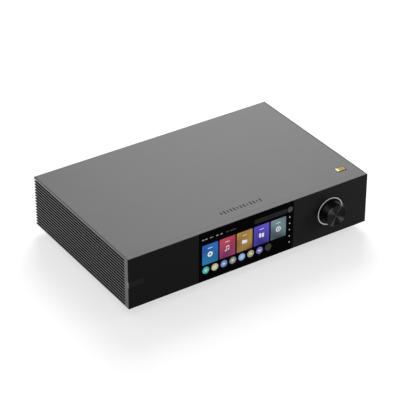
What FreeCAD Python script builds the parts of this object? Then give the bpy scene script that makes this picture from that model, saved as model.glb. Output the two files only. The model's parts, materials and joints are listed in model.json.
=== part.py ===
"""Full-size desktop DAC: finned aluminium case, touch screen, volume knob and rear jacks.

Frame: +Z up, front facing -Y, +X to the right as seen from the front. The origin is on
the surface the feet stand on, at the middle of the overall box. Millimetres.
"""
import FreeCAD, Part
import os
import re

import Sketcher

SIZES = {
    # case
    "case_width": 388, "case_depth": 248, "case_height": 77, "foot_height": 13,
    "top_thickness": 2, "rim_width": 0.7, "seam": 0.4, "edge_chamfer": 0.3,
    "side_thickness": 12, "fin_depth": 7, "fin_web_rim": 7.5, "groove_width": 2.3,
    "bottom_groove_rise": 3.4, "groove_count": 16, "top_groove_drop": 5.2,
    "strip_depth": 9.5, "fascia_thickness": 1.2, "plate_gap": 0.15,
    "bottom_thickness": 2, "rear_thickness": 2,
    "lip_height": 8, "lip_depth": 5, "lip_inset": 6,
    # fasteners
    "screw_radius": 1.5, "screw_head_radius": 2.9, "screw_head_height": 1.6,
    "screw_length": 7, "screw_clearance": 0.15, "screw_edge_inset": 9.75,
    "frame_screw_radius": 1.9, "frame_head_radius": 3.2, "frame_head_height": 2.4,
    "frame_screw_length": 14, "frame_screw_inset": 12,
    # screen and infrared window
    "glass_left": 84.8, "glass_right": 68.5, "screen_left": 81.5, "screen_right": 65.5,
    "screen_low": 6, "screen_drop": 6, "screen_thickness": 5, "screen_clearance": 0.5,
    "display_board_thickness": 1.6, "bracket_thickness": 1.2, "bracket_margin": 5,
    "cable_slot_width": 30, "cable_slot_height": 8,
    "infrared_width": 24.6, "infrared_low": 32.5, "infrared_high": 42.7,
    "infrared_depth": 4, "infrared_recess": 0.15,
    # volume knob and encoder
    "knob_right": 131.6, "knob_drop": 0.2, "knob_radius": 16.5, "knob_proud": 14.5,
    "knob_gap": 1.1, "knob_chamfer": 0.6, "knob_groove_back": 4.5,
    "knob_groove_width": 0.4, "knob_groove_depth": 0.3, "knob_hollow_radius": 14,
    "knob_hollow_depth": 6, "knob_boss_radius": 6.5,
    "ring_inner_radius": 19.7, "ring_outer_radius": 21.1, "ring_gap": 0.1,
    "ring_length": 4.6, "ring_board_thickness": 1.6, "ring_board_radius": 23,
    "ring_board_bore": 9, "surround_bore": 7.2, "frame_web": 2, "pocket_gap": 0.3,
    "shaft_radius": 3, "shaft_fit": 0.04, "bush_radius": 4.5, "bush_fit": 0.1,
    "bush_length": 6, "nut_radius": 6.6, "nut_thickness": 1.8,
    "encoder_width": 15, "encoder_depth": 8, "encoder_wall": 1.5,
    "rotor_radius": 5.4, "rotor_gap": 0.4, "rotor_thickness": 3, "shaft_flat": 2.3,
    "shaft_tail": 3.9, "shaft_cover": 3, "grub_radius": 1.5, "grub_length": 6,
    # bottom plate, drive hatch and feet
    "hatch_width": 90, "hatch_depth": 34, "hatch_right": 20, "hatch_back": 70,
    "hatch_gap": 0.4, "hatch_ledge": 4, "hatch_thickness": 1, "vent_length": 26,
    "vent_width": 3, "vent_pitch": 8, "vent_count": 12, "vent_right": 118,
    "vent_back": 96, "foot_radius": 22.5, "foot_inset_side": 48, "foot_inset_end": 42,
    "pad_radius": 18, "pad_height": 4, "pad_stand": 1.2, "pad_bore": 6,
    "foot_screw_length": 10.5,
    # badge on the cover
    "badge_width": 13.5, "badge_depth": 10, "badge_height": 0.8, "badge_right": 170.7,
    "badge_back": 31, "badge_sink": 0.5,
    # rear jacks, shared
    "jack_proud": 12, "jack_stack": 24,
    # balanced sockets
    "xlr_flange_width": 26, "xlr_flange_height": 31, "xlr_flange": 2,
    "xlr_radius": 11.8, "xlr_bore": 9.7, "xlr_length": 22, "xlr_cavity": 16,
    "xlr_pin_radius": 1.2, "xlr_pin_circle": 4.2, "xlr_pin_length": 12,
    "xlr_insert_radius": 7.7, "xlr_out_right": 160, "xlr_out_left": 130,
    "xlr_in_right": 74, "xlr_in_left": 44, "xlr_hole_radius": 1.4,
    "tab_width": 8, "tab_height": 2.4, "tab_length": 6, "tab_gap": 0.3,
    "tab_proud": 2.2, "tab_up": 12.6,
    # phono sockets
    "rca_radius": 4.15, "rca_bore": 3.5, "rca_proud": 9, "rca_inside": 8,
    "rca_collar_radius": 6, "rca_collar": 1.5, "rca_core_radius": 3.45,
    "rca_core_bore": 1.65, "rca_out": 102, "rca_in": 16, "rca_digital": -8,
    "rca_core_back": 6, "rca_hole_gap": 0.15,
    # optical sockets
    "optical_x": -30, "optical_width": 13.6, "optical_height": 12, "optical_depth": 12,
    "optical_proud": 0.8, "optical_mouth_width": 8.6, "optical_mouth_height": 8.2,
    "optical_cavity": 9.5, "bezel_width": 18, "bezel_margin": 4,
    "shutter_thickness": 0.8, "shutter_gap": 0.3,
    "shutter_pin_radius": 0.6,
    # data sockets
    "usb_x": -52, "usb_width": 13.4, "usb_host_height": 15.6, "usb_mouth_width": 12.3,
    "usb_mouth_height": 4.9, "usb_mouth_up": 3.9, "usb_device_width": 12,
    "usb_device_height": 11, "usb_device_mouth": 8.6, "data_depth": 16,
    "data_proud": 0.6, "data_cavity": 12, "data_hole_gap": 0.2,
    "network_x": -74, "network_width": 16, "network_height": 14, "network_mouth": 11.8,
    "network_mouth_height": 8, "video_width": 15, "video_height": 6,
    "video_mouth": 13.8, "video_mouth_height": 4.5,
    # trigger and antenna sockets
    "trigger_x": -94, "trigger_radius": 4, "trigger_bore": 1.8, "trigger_proud": 1.6,
    "trigger_inside": 13, "antenna_x": -111, "antenna_radius": 3.15,
    "antenna_bore": 2.3, "antenna_bore_depth": 8, "antenna_inside": 7,
    "antenna_nut_radius": 4.6, "antenna_nut": 2, "antenna_pin_radius": 0.5,
    # mains inlet, fuse drawer and rocker
    "inlet_x": -160, "inlet_width": 32, "inlet_height": 58, "inlet_flange": 2.4,
    "inlet_body_width": 28, "inlet_body_height": 48, "inlet_length": 26,
    "inlet_mouth_width": 24, "inlet_mouth_height": 16.4, "inlet_cavity": 17,
    "inlet_mouth_down": 11, "blade_width": 4, "blade_thickness": 2, "blade_length": 13,
    "blade_spread": 7, "drawer_up": 12, "drawer_width": 22, "drawer_height": 9,
    "drawer_length": 24, "drawer_gap": 0.3, "drawer_face": 1.2,
    "fuse_radius": 2.6, "fuse_length": 19, "rocker_x": -130, "rocker_width": 13,
    "rocker_height": 19.4, "rocker_wall": 1.4, "rocker_flange": 1.5,
    "rocker_depth": 14, "rocker_gap": 0.4, "rocker_pin_radius": 1.5, "rocker_low": 1.5,
    "rocker_back": 1, "rocker_thickness": 5, "rocker_face": 2.2, "rocker_dish": 1,
    "rocker_tilt": 9,
    # inner pieces
    "standoff_height": 8, "standoff_radius": 3, "board_thickness": 1.6,
    "board_gap": 8, "power_board_width": 96, "toroid_gap": 10.5,
    "power_board_left": 176, "main_board_width": 104, "main_board_depth": 150,
    "main_board_left": 72, "dac_board_width": 132, "dac_board_depth": 150,
    "dac_board_left": -40, "standoff_inset": 5,
    "toroid_radius": 44, "toroid_bore": 13, "toroid_height": 38, "toroid_round": 10,
    "toroid_left": 128, "toroid_front": 66, "clamp_radius": 24, "clamp_thickness": 1.5,
    "bolt_radius": 3, "bolt_head": 5.5, "bolt_head_height": 4,
    "capacitor_radius": 9, "capacitor_height": 32, "capacitor_pitch": 21,
    "capacitor_count": 4, "heatsink_width": 44, "heatsink_depth": 44,
    "heatsink_base": 3, "heatsink_height": 18, "heatsink_fin": 1.4,
    "heatsink_pitch": 4.4, "heatsink_count": 10, "chip_height": 1.2,
    "drive_width": 80, "drive_depth": 22, "drive_thickness": 2.4, "drive_lift": 1.5,
}

PLACES = {
    "front_y": "(knob_proud - jack_proud - case_depth) / 2",
    "back_y": "front_y + case_depth",
    "side_x": "case_width / 2",
    "inner_x": "side_x - side_thickness",
    "plate_x": "side_x - fin_web_rim - plate_gap",
    "case_high": "foot_height + case_height",
    "cover_low": "case_high - top_thickness",
    "lip_left": "inlet_x + inlet_width / 2 + lip_inset",
    "lip_right": "inner_x - lip_inset",
    "floor_z": "foot_height + bottom_thickness",
    "frame_front": "front_y + fascia_thickness",
    "frame_back": "front_y + strip_depth",
    "web_front": "frame_back - frame_web",
    "rear_in": "back_y - rear_thickness",
    "knob_z": "foot_height + case_height / 2 - knob_drop",
    "knob_front": "front_y - knob_proud",
    "knob_back": "front_y - knob_gap",
    "ring_board_front": "web_front - ring_board_thickness",
    "encoder_back": "frame_back + encoder_depth",
    "rotor_front": "frame_back + encoder_wall + rotor_gap",
    "shaft_back": "rotor_front + shaft_tail",
    "screen_low_z": "foot_height + screen_low",
    "screen_high_z": "case_high - screen_drop",
    "board_back": "screen_back + display_board_thickness",
    "screen_back": "frame_front + screen_thickness",
    "bracket_back": "frame_back + bracket_thickness",
    "jack_low": "foot_height + case_height / 2 - jack_stack / 2",
    "jack_high": "jack_low + jack_stack",
    "jack_mid": "jack_low + jack_stack / 2",
    "bezel_height": "jack_stack + optical_height + 2 * bezel_margin",
    "boards_z": "floor_z + standoff_height",
    "boards_top": "boards_z + board_thickness",
    "boards_back": "rear_in - board_gap - inlet_length",
    "jack_boards_back": "rear_in - board_gap - xlr_length",
    "hatch_x": "hatch_right",
    "hatch_y": "back_y - hatch_back",
    "mouth_z": "jack_mid - inlet_mouth_down",
    "drawer_z": "jack_mid + drawer_up",
    "toroid_x": "-toroid_left",
    "toroid_y": "frame_back + toroid_front",
    "power_board_span": "boards_back - toroid_y - toroid_radius - toroid_gap",
    "badge_x": "badge_right",
    "badge_y": "front_y + badge_back",
    "pin_y": "back_y - rocker_back",
}

PLANES = {"x": ("YZ_Plane", 1), "y": ("XZ_Plane", -1), "z": ("XY_Plane", 1)}
SIDES = (-1, 1)
XLR_OUTPUTS = ("xlr_out_right", "xlr_out_left")
XLR_INPUTS = ("xlr_in_right", "xlr_in_left")
STACK = ("jack_low", "jack_high")

doc = FreeCAD.newDocument("desktop_dac")
sheet = doc.addObject("Spreadsheet::Sheet", "sizes")
pieces = []


def fill_sheet():
    """Writes one row per driving size: its name and its plain number."""
    for row, (name, number) in enumerate(SIZES.items(), start=1):
        sheet.set(f"A{row}", name)
        sheet.set(f"B{row}", str(number))
        sheet.setAlias(f"B{row}", name)
    doc.recompute()


def formula(text):
    """Turns size and place names in a formula into references to the sheet."""
    def spell(match):
        word = match.group(0)
        if word in PLACES:
            return f"({formula(PLACES[word])})"
        return f"sizes.{word}"
    return re.sub(r"[a-z][a-z_]*", spell, str(text))


def number(name):
    """A driving size as the sheet holds it."""
    return float(sheet.get(name))


def away(side, near, far):
    """The span from near to far on one side of the middle, lowest end first."""
    if side > 0:
        return near, far
    return f"-({far})", f"-({near})"


def about(middle, width):
    """The span of a width centred on a middle."""
    return f"({middle}) - ({width}) / 2", f"({middle}) + ({width}) / 2"


class Piece:
    """One sub-part: a body whose features are pads and pockets of constrained sketches."""

    def __init__(self, label):
        self.label = label
        self.body = doc.addObject("PartDesign::Body", label)
        self.body.Label = label
        self.body.AllowCompound = True
        self.steps = 0
        pieces.append(self)

    def sketch(self, axis, at):
        """A new sketch square to an axis, at a place along it."""
        role, sense = PLANES[axis]
        plane = [f for f in self.body.Origin.OriginFeatures if f.Role == role][0]
        self.steps += 1
        made = self.body.newObject("Sketcher::SketchObject", f"{self.label}_sketch")
        made.AttachmentSupport = [(plane, "")]
        made.MapMode = "FlatFace"
        made.setExpression("AttachmentOffset.Base.z", f"{sense} * ({formula(at)})")
        return made

    def add(self, axis, start, end, *outlines):
        """Material between two places along an axis, inside the outlines."""
        _, sense = PLANES[axis]
        made = self.sketch(axis, start if sense > 0 else end)
        draw(made, outlines)
        pad = self.body.newObject("PartDesign::Pad", f"{self.label}_pad")
        pad.Profile = made
        pad.setExpression("Length", formula(f"({end}) - ({start})"))
        return pad

    def cut(self, axis, start, end, *outlines):
        """A pocket between two places along an axis, inside the outlines."""
        _, sense = PLANES[axis]
        made = self.sketch(axis, end if sense > 0 else start)
        draw(made, outlines)
        pocket = self.body.newObject("PartDesign::Pocket", f"{self.label}_pocket")
        pocket.Profile = made
        pocket.setExpression("Length", formula(f"({end}) - ({start})"))
        return pocket

    def repeat(self, feature, direction, span, count, reverse=False):
        """The last feature repeated in a row along an axis of its own sketch."""
        row = self.body.newObject("PartDesign::LinearPattern", f"{self.label}_row")
        row.Originals = [feature]
        row.Direction = (feature.Profile[0], [direction])
        row.Reversed = reverse
        row.setExpression("Length", formula(span))
        row.setExpression("Occurrences", formula(count))
        self.body.Tip = row
        return row

    def chamfer(self, size, chosen):
        """A chamfer on the edges of the tip that a test picks by their two ends."""
        doc.recompute()
        base = self.body.Tip
        names = []
        for index, edge in enumerate(base.Shape.Edges, start=1):
            if all(chosen(vertex.Point) for vertex in edge.Vertexes):
                names.append(f"Edge{index}")
        if not names:
            raise RuntimeError(f"{self.label}: no edge to chamfer")
        bevel = self.body.newObject("PartDesign::Chamfer", f"{self.label}_chamfer")
        bevel.Base = (base, names)
        bevel.setExpression("Size", formula(size))
        return bevel


def bind(sketch, kind, geometry, point, text):
    """Ties one coordinate of a point, measured from the sketch's origin, to a formula."""
    index = sketch.addConstraint(Sketcher.Constraint(kind, -1, 1, geometry, point, 1.0))
    sketch.setExpression(f"Constraints[{index}]", formula(text))


def draw(sketch, outlines):
    """Adds each outline: a rectangle, a disc or a chain of straight edges."""
    for outline in outlines:
        kind, values = outline[0], outline[1:]
        if kind == "disc":
            draw_disc(sketch, *values)
        elif kind == "rect":
            left, right, low, high = values
            draw_chain(sketch, [(left, low), (right, low), (right, high), (left, high)])
        else:
            draw_chain(sketch, values[0])


def draw_disc(sketch, across, up, radius):
    circle = Part.Circle(FreeCAD.Vector(1, 1, 0), FreeCAD.Vector(0, 0, 1), 1)
    geometry = sketch.addGeometry(circle, False)
    bind(sketch, "DistanceX", geometry, 3, across)
    bind(sketch, "DistanceY", geometry, 3, up)
    index = sketch.addConstraint(Sketcher.Constraint("Radius", geometry, 1.0))
    sketch.setExpression(f"Constraints[{index}]", formula(radius))


def draw_chain(sketch, corners):
    first = sketch.GeometryCount
    count = len(corners)
    for index in range(count):
        start = FreeCAD.Vector(index, index * index, 0)
        after = (index + 1) % count
        end = FreeCAD.Vector(after, after * after, 0)
        sketch.addGeometry(Part.LineSegment(start, end), False)
    for index in range(count):
        after = first + (index + 1) % count
        sketch.addConstraint(Sketcher.Constraint("Coincident", first + index, 2, after, 1))
    for index, (across, up) in enumerate(corners):
        bind(sketch, "DistanceX", first + index, 1, across)
        bind(sketch, "DistanceY", first + index, 1, up)


def rect(left, right, low, high):
    return "rect", left, right, low, high


def box_about(across, up, width, height):
    return ("rect",) + about(across, width) + about(up, height)


def disc(across, up, radius):
    return "disc", across, up, radius


def chain(*corners):
    return "chain", corners


# ---------------------------------------------------------------- case

def rear_screw_places():
    """Screw centres round the rear panel: two in each side panel, four along the top lip."""
    places = []
    for side in SIDES:
        for up in ("foot_height + screw_edge_inset", "cover_low - screw_edge_inset"):
            places.append((f"{side} * (side_x - screw_edge_inset)", up))
    for share in (0.04, 0.36, 0.68, 0.97):
        places.append((f"lip_left + {share} * (lip_right - lip_left)", "cover_low - lip_height / 2"))
    return places


def bottom_screw_places():
    """Screw centres along both sides of the bottom plate."""
    places = []
    for side in SIDES:
        for share in (0.08, 0.36, 0.64, 0.92):
            along = f"frame_back + {share} * (rear_in - frame_back)"
            places.append((f"{side} * (side_x - screw_edge_inset)", along))
    return places


def hatch_screw_places():
    ends = "hatch_width / 2 - hatch_ledge / 2"
    return [(f"hatch_x + {side} * ({ends})", "hatch_y") for side in SIDES]


def foot_places():
    """Centres of the four feet."""
    places = []
    for side in SIDES:
        across = f"{side} * (side_x - foot_inset_side)"
        places.append((across, "front_y + foot_inset_end"))
        places.append((across, "back_y - foot_inset_end"))
    return places


def top_cover():
    """Inlaid top plate with a lip along the back, clear of the mains inlet, for the rear screws."""
    piece = Piece("top_cover")
    edge = "side_x - rim_width - seam"
    piece.add("z", "cover_low", "case_high", rect(f"-({edge})", edge, "frame_front", "back_y"))
    piece.add("z", "cover_low - lip_height", "cover_low",
              rect("lip_left", "lip_right", "rear_in - lip_depth", "rear_in - plate_gap"))
    holes = [disc(x, z, "screw_radius + screw_clearance")
             for x, z in rear_screw_places()[2 * len(SIDES):]]
    piece.cut("y", "rear_in - lip_depth - seam", "rear_in", *holes)
    piece.cut("z", "case_high - badge_sink", "case_high",
              box_about("badge_x", "badge_y", "badge_width + 2 * ring_gap",
                        "badge_depth + 2 * ring_gap"))
    top = number("foot_height") + number("case_height")
    reach = number("case_width") / 2 - number("badge_width")
    piece.chamfer("edge_chamfer",
                  lambda p: abs(p.z - top) < 1e-6 and abs(p.x) > reach)


def side_panel(side, name):
    """Extruded side panel with a row of long cooling grooves open at both ends."""
    piece = Piece(name)
    piece.add("z", "foot_height", "case_high",
              rect(*away(side, "inner_x", "side_x"), "frame_back", "back_y"))
    piece.cut("z", "cover_low", "case_high",
              rect(*away(side, "inner_x", "side_x - rim_width"), "frame_back", "back_y"))
    web = away(side, "inner_x", "side_x - fin_web_rim")
    piece.cut("z", "foot_height", "floor_z", rect(*web, "frame_back", "back_y"))
    piece.cut("y", "rear_in", "back_y", rect(*web, "foot_height", "cover_low"))
    groove = piece.cut("y", "frame_back", "back_y",
                       rect(*away(side, "side_x - fin_depth", "side_x"),
                            *about("case_high - top_groove_drop", "groove_width")))
    piece.repeat(groove, "V_Axis", "case_height - top_groove_drop - bottom_groove_rise", "groove_count", True)
    hole = "screw_radius + screw_clearance"
    piece.cut("z", "floor_z", "floor_z + screw_length",
              *[disc(x, y, hole) for x, y in bottom_screw_places() if x.startswith(f"{side} ")])
    piece.cut("y", "rear_in - screw_length", "rear_in",
              *[disc(x, z, hole) for x, z in rear_screw_places()[:2 * len(SIDES)]
                if x.startswith(f"{side} ")])
    piece.cut("y", "frame_back", "frame_back + frame_screw_length",
              *[disc(x, z, "frame_screw_radius + screw_clearance")
                for x, z in frame_screw_places() if x.startswith(f"{side} ")])


def frame_screw_places():
    places = []
    for side in SIDES:
        for up in ("foot_height + frame_screw_inset", "cover_low - frame_screw_inset"):
            places.append((f"{side} * (side_x - screw_edge_inset)", up))
    return places


def front_frame():
    """Front casting: carries the fascia, the screen, the light ring and the encoder."""
    piece = Piece("front_frame")
    piece.add("y", "frame_front", "frame_back", rect("-side_x", "side_x", "foot_height", "cover_low"))
    for side in SIDES:
        piece.add("y", "frame_front", "frame_back",
                  rect(*away(side, "side_x - rim_width", "side_x"), "cover_low", "case_high"))
    piece.cut("y", "frame_front", "frame_back",
              rect("-screen_left", "screen_right", "screen_low_z", "screen_high_z"))
    piece.cut("y", "frame_front", "web_front",
              disc("knob_right", "knob_z", "ring_board_radius + pocket_gap"))
    piece.cut("y", "web_front", "frame_back", disc("knob_right", "knob_z", "bush_radius + bush_fit"))
    piece.cut("y", "frame_front", "frame_front + infrared_depth",
              rect("-side_x", "-side_x + infrared_width", "foot_height + infrared_low",
                   "foot_height + infrared_high"))
    piece.cut("y", "frame_front", "frame_front + frame_head_height",
              *[disc(x, z, "frame_head_radius + screw_clearance") for x, z in frame_screw_places()])
    piece.cut("y", "frame_front + frame_head_height", "frame_back",
              *[disc(x, z, "frame_screw_radius + screw_clearance")
                for x, z in frame_screw_places()])
    piece.cut("y", "frame_back - screw_length + bracket_thickness", "frame_back",
              *[disc(x, z, "screw_radius + screw_clearance") for x, z in bracket_screw_places()])


def rear_panel():
    """Flat rear plate with a hole for each jack."""
    piece = Piece("rear_panel")
    piece.add("y", "rear_in", "back_y",
              rect("-plate_x", "plate_x", "foot_height", "cover_low - plate_gap"))
    gap = "data_hole_gap"
    piece.cut("y", "rear_in", "back_y",
              *[disc(x, z, "screw_radius + screw_clearance") for x, z in rear_screw_places()],
              *[disc(x, "jack_mid", f"xlr_radius + {gap}") for x in XLR_OUTPUTS + XLR_INPUTS])
    piece.cut("y", "rear_in", "back_y",
              *[box_about(x, "jack_mid + tab_up", "tab_width + 4 * tab_gap",
                          "tab_height + 4 * tab_gap") for x in XLR_INPUTS])
    piece.cut("y", "rear_in", "back_y",
              *[disc(x, z, "rca_radius + rca_hole_gap") for x, z in phono_places()])
    piece.cut("y", "rear_in", "back_y",
              box_about("optical_x", "jack_mid", "bezel_width", "bezel_height"),
              box_about("usb_x", "jack_high", f"usb_width + 2 * {gap}", f"usb_host_height + 2 * {gap}"),
              box_about("usb_x", "jack_low", f"usb_device_width + 2 * {gap}",
                        f"usb_device_height + 2 * {gap}"),
              box_about("network_x", "jack_high", f"network_width + 2 * {gap}",
                        f"network_height + 2 * {gap}"),
              box_about("network_x", "jack_low", f"video_width + 2 * {gap}",
                        f"video_height + 2 * {gap}"))
    piece.cut("y", "rear_in", "back_y",
              *[disc("trigger_x", z, f"trigger_radius + {gap}") for z in STACK],
              *[disc("antenna_x", z, f"antenna_radius + {gap}") for z in STACK],
              box_about("inlet_x", "jack_mid", f"inlet_body_width + 2 * {gap}",
                        f"inlet_body_height + 2 * {gap}"),
              box_about("rocker_x", "jack_mid", f"rocker_width + 2 * rocker_wall + 2 * {gap}",
                        f"rocker_height + 2 * rocker_wall + 2 * {gap}"))


def bottom_plate():
    """Bottom plate with two rows of vents, a drive opening and holes for feet and screws."""
    piece = Piece("bottom_plate")
    piece.add("z", "foot_height", "floor_z",
              rect("-plate_x", "plate_x", "frame_back + plate_gap", "rear_in - plate_gap"))
    piece.cut("z", "foot_height", "foot_height + hatch_thickness",
              box_about("hatch_x", "hatch_y", "hatch_width + 2 * hatch_gap",
                        "hatch_depth + 2 * hatch_gap"))
    piece.cut("z", "foot_height + hatch_thickness", "floor_z",
              box_about("hatch_x", "hatch_y", "hatch_width - 2 * hatch_ledge",
                        "hatch_depth - 2 * hatch_ledge"))
    for side in SIDES:
        slot = piece.cut("z", "foot_height", "floor_z",
                         box_about(f"{side} * vent_right", "front_y + vent_back", "vent_length",
                                   "vent_width"))
        piece.repeat(slot, "V_Axis", "vent_pitch * (vent_count - 1)", "vent_count")
    hole = "screw_radius + screw_clearance"
    piece.cut("z", "foot_height", "floor_z",
              *[disc(x, y, hole) for x, y in bottom_screw_places()],
              *[disc(x, y, hole) for x, y in foot_places()],
              disc("toroid_x", "toroid_y", "bolt_radius + screw_clearance"))
    piece.cut("z", "foot_height + hatch_thickness", "floor_z",
              *[disc(x, y, hole) for x, y in hatch_screw_places()])


def drive_hatch():
    """Small plate that closes the drive opening from below."""
    piece = Piece("drive_hatch")
    piece.add("z", "foot_height", "foot_height + hatch_thickness",
              box_about("hatch_x", "hatch_y", "hatch_width", "hatch_depth"))
    piece.cut("z", "foot_height", "foot_height + hatch_thickness",
              *[disc(x, y, "screw_radius + screw_clearance") for x, y in hatch_screw_places()])


def feet():
    """Four turned feet, each with a hollow for its rubber pad."""
    piece = Piece("feet")
    piece.add("z", "pad_stand", "foot_height", *[disc(x, y, "foot_radius") for x, y in foot_places()])
    piece.cut("z", "pad_stand", "pad_height",
              *[disc(x, y, "pad_radius + seam") for x, y in foot_places()])
    piece.cut("z", "pad_height", "foot_height",
              *[disc(x, y, "screw_radius + screw_clearance") for x, y in foot_places()])
    low, high = number("pad_stand"), number("foot_height")
    outer = number("foot_radius")
    piece.chamfer("knob_chamfer", lambda p: min(abs(p.z - low), abs(p.z - high)) < 1e-6
                  and outer_rim(p, outer))


def outer_rim(point, radius):
    """True where a foot's circle starts, on its outer wall."""
    side = number("case_width") / 2 - number("foot_inset_side")
    return abs(abs(point.x) - side - radius) < 1e-6 or abs(side - abs(point.x) - radius) < 1e-6


def foot_pads():
    """Rubber rings that stand on the floor, hollow for the foot screw."""
    piece = Piece("foot_pads")
    piece.add("z", "0", "pad_height", *[disc(x, y, "pad_radius") for x, y in foot_places()])
    piece.cut("z", "0", "pad_height", *[disc(x, y, "pad_bore") for x, y in foot_places()])


def case_screws():
    """Identical pan-head screws: bottom plate, drive hatch, feet, rear panel and screen bracket."""
    piece = Piece("case_screws")
    below = bottom_screw_places() + hatch_screw_places()
    screw_row(piece, "z", "foot_height", 1, below)
    screw_row(piece, "z", "pad_height", 1, foot_places(), "foot_screw_length")
    screw_row(piece, "y", "back_y", -1, rear_screw_places())
    screw_row(piece, "y", "bracket_back", -1, bracket_screw_places())


def screw_row(piece, axis, seat, sense, places, length="screw_length"):
    """Screws whose heads sit on one plane, with their shanks pointing along sense."""
    shanks = [disc(u, v, "screw_radius") for u, v in places]
    heads = [disc(u, v, "screw_head_radius") for u, v in places]
    if sense > 0:
        piece.add(axis, seat, f"{seat} + {length}", *shanks)
        piece.add(axis, f"{seat} - screw_head_height", seat, *heads)
    else:
        piece.add(axis, f"{seat} - {length}", seat, *shanks)
        piece.add(axis, seat, f"{seat} + screw_head_height", *heads)


def frame_screws():
    """Four screws hidden under the fascia that hold the frame to the side panels."""
    piece = Piece("frame_screws")
    piece.add("y", "frame_front + frame_head_height", "frame_front + frame_screw_length",
              *[disc(x, z, "frame_screw_radius") for x, z in frame_screw_places()])
    piece.add("y", "frame_front", "frame_front + frame_head_height",
              *[disc(x, z, "frame_head_radius") for x, z in frame_screw_places()])


# ---------------------------------------------------------------- front

def fascia_left():
    """Black front plate left of the glass, notched at its end for the infrared window."""
    piece = Piece("fascia_left")
    piece.add("y", "front_y", "frame_front",
              rect("-side_x", "-glass_left - plate_gap", "foot_height", "case_high"))
    piece.cut("y", "front_y", "frame_front",
              rect("-side_x", "-side_x + infrared_width", "foot_height + infrared_low",
                   "foot_height + infrared_high"))
    chamfer_front(piece)


def fascia_right():
    """Black front plate right of the glass, with a round opening for the light ring."""
    piece = Piece("fascia_right")
    piece.add("y", "front_y", "frame_front",
              rect("glass_right + plate_gap", "side_x", "foot_height", "case_high"))
    piece.cut("y", "front_y", "frame_front",
              disc("knob_right", "knob_z", "ring_outer_radius + ring_gap"))
    chamfer_front(piece)


def touch_glass():
    """Full-height black glass, flush with the plates on both sides."""
    piece = Piece("touch_glass")
    piece.add("y", "front_y", "frame_front",
              rect("-glass_left", "glass_right", "foot_height", "case_high"))
    chamfer_front(piece)


def chamfer_front(piece):
    """Eases the top and bottom front edges of a front plate."""
    front = (number("knob_proud") - number("jack_proud") - number("case_depth")) / 2
    low = number("foot_height")
    high = low + number("case_height")
    piece.chamfer("edge_chamfer", lambda p: abs(p.y - front) < 1e-6
                  and min(abs(p.z - low), abs(p.z - high)) < 1e-6)


def infrared_window():
    """Smoked plastic window that wraps round the left front edge."""
    piece = Piece("infrared_window")
    low = "foot_height + infrared_low + ring_gap"
    high = "foot_height + infrared_high - ring_gap"
    piece.add("y", "front_y + infrared_recess", "frame_front + infrared_depth",
              rect("-side_x", "-side_x + infrared_width - ring_gap", low, high))


def screen_span(gap):
    """The screen opening made smaller by a gap all round."""
    return rect(f"-screen_left + {gap}", f"screen_right - {gap}",
                f"screen_low_z + {gap}", f"screen_high_z - {gap}")


def lcd_module():
    piece = Piece("lcd_module")
    piece.add("y", "frame_front", "screen_back", screen_span("screen_clearance"))


def display_board():
    """Driver board on the back of the screen."""
    piece = Piece("display_board")
    piece.add("y", "screen_back", "board_back", screen_span("3 * bracket_margin"))


def bracket_screw_places():
    across = ("-screen_left - bracket_margin / 2", "screen_right + bracket_margin / 2")
    up = ("screen_low_z + frame_screw_inset", "screen_high_z - frame_screw_inset")
    return [(x, z) for x in across for z in up]


def display_bracket():
    """Steel plate across the back of the frame that holds the screen in."""
    piece = Piece("display_bracket")
    piece.add("y", "frame_back", "bracket_back",
              rect("-screen_left - bracket_margin", "screen_right + bracket_margin",
                   "screen_low_z", "screen_high_z"))
    piece.cut("y", "frame_back", "bracket_back",
              box_about("0", "screen_low_z + bracket_margin + cable_slot_height",
                        "cable_slot_width", "cable_slot_height"),
              *[disc(x, z, "screw_radius + screw_clearance") for x, z in bracket_screw_places()])


# ---------------------------------------------------------------- knob

def tube(label, axis_x, axis_z, start, end, outer, inner):
    """A ring along Y about a point of the front."""
    piece = Piece(label)
    piece.add("y", start, end, disc(axis_x, axis_z, outer))
    piece.cut("y", start, end, disc(axis_x, axis_z, inner))
    return piece


def light_ring():
    tube("light_ring", "knob_right", "knob_z", "front_y", "front_y + ring_length",
         "ring_outer_radius", "ring_inner_radius")


def knob_surround():
    """Black plinth inside the light ring."""
    tube("knob_surround", "knob_right", "knob_z", "front_y", "front_y + ring_length",
         "ring_inner_radius - ring_gap", "surround_bore")


def ring_led_board():
    """Round board whose lamps feed the light ring."""
    tube("ring_led_board", "knob_right", "knob_z", "ring_board_front", "web_front",
         "ring_board_radius", "ring_board_bore")


def encoder_body():
    """Encoder case with its threaded bush through the frame's web."""
    piece = Piece("encoder_body")
    piece.add("y", "frame_back", "encoder_back + rotor_gap",
              box_about("knob_right", "knob_z", "encoder_width", "encoder_width"))
    piece.add("y", "frame_back - bush_length", "frame_back",
              disc("knob_right", "knob_z", "bush_radius"))
    piece.cut("y", "frame_back + encoder_wall", "encoder_back + rotor_gap - encoder_wall",
              disc("knob_right", "knob_z", "rotor_radius + rotor_gap"))
    piece.cut("y", "frame_back - bush_length", "frame_back + encoder_wall",
              disc("knob_right", "knob_z", "shaft_radius + shaft_fit"))


def encoder_nut():
    tube("encoder_nut", "knob_right", "knob_z", "web_front - nut_thickness", "web_front",
         "nut_radius", "bush_radius + screw_clearance")


def flatted(radius, flat):
    """Half-width rectangle that leaves a flat on a round shaft."""
    return rect(f"knob_right - {radius} - seam", f"knob_right + {radius} + seam",
                f"knob_z + {flat}", f"knob_z + {radius} + seam")


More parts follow.
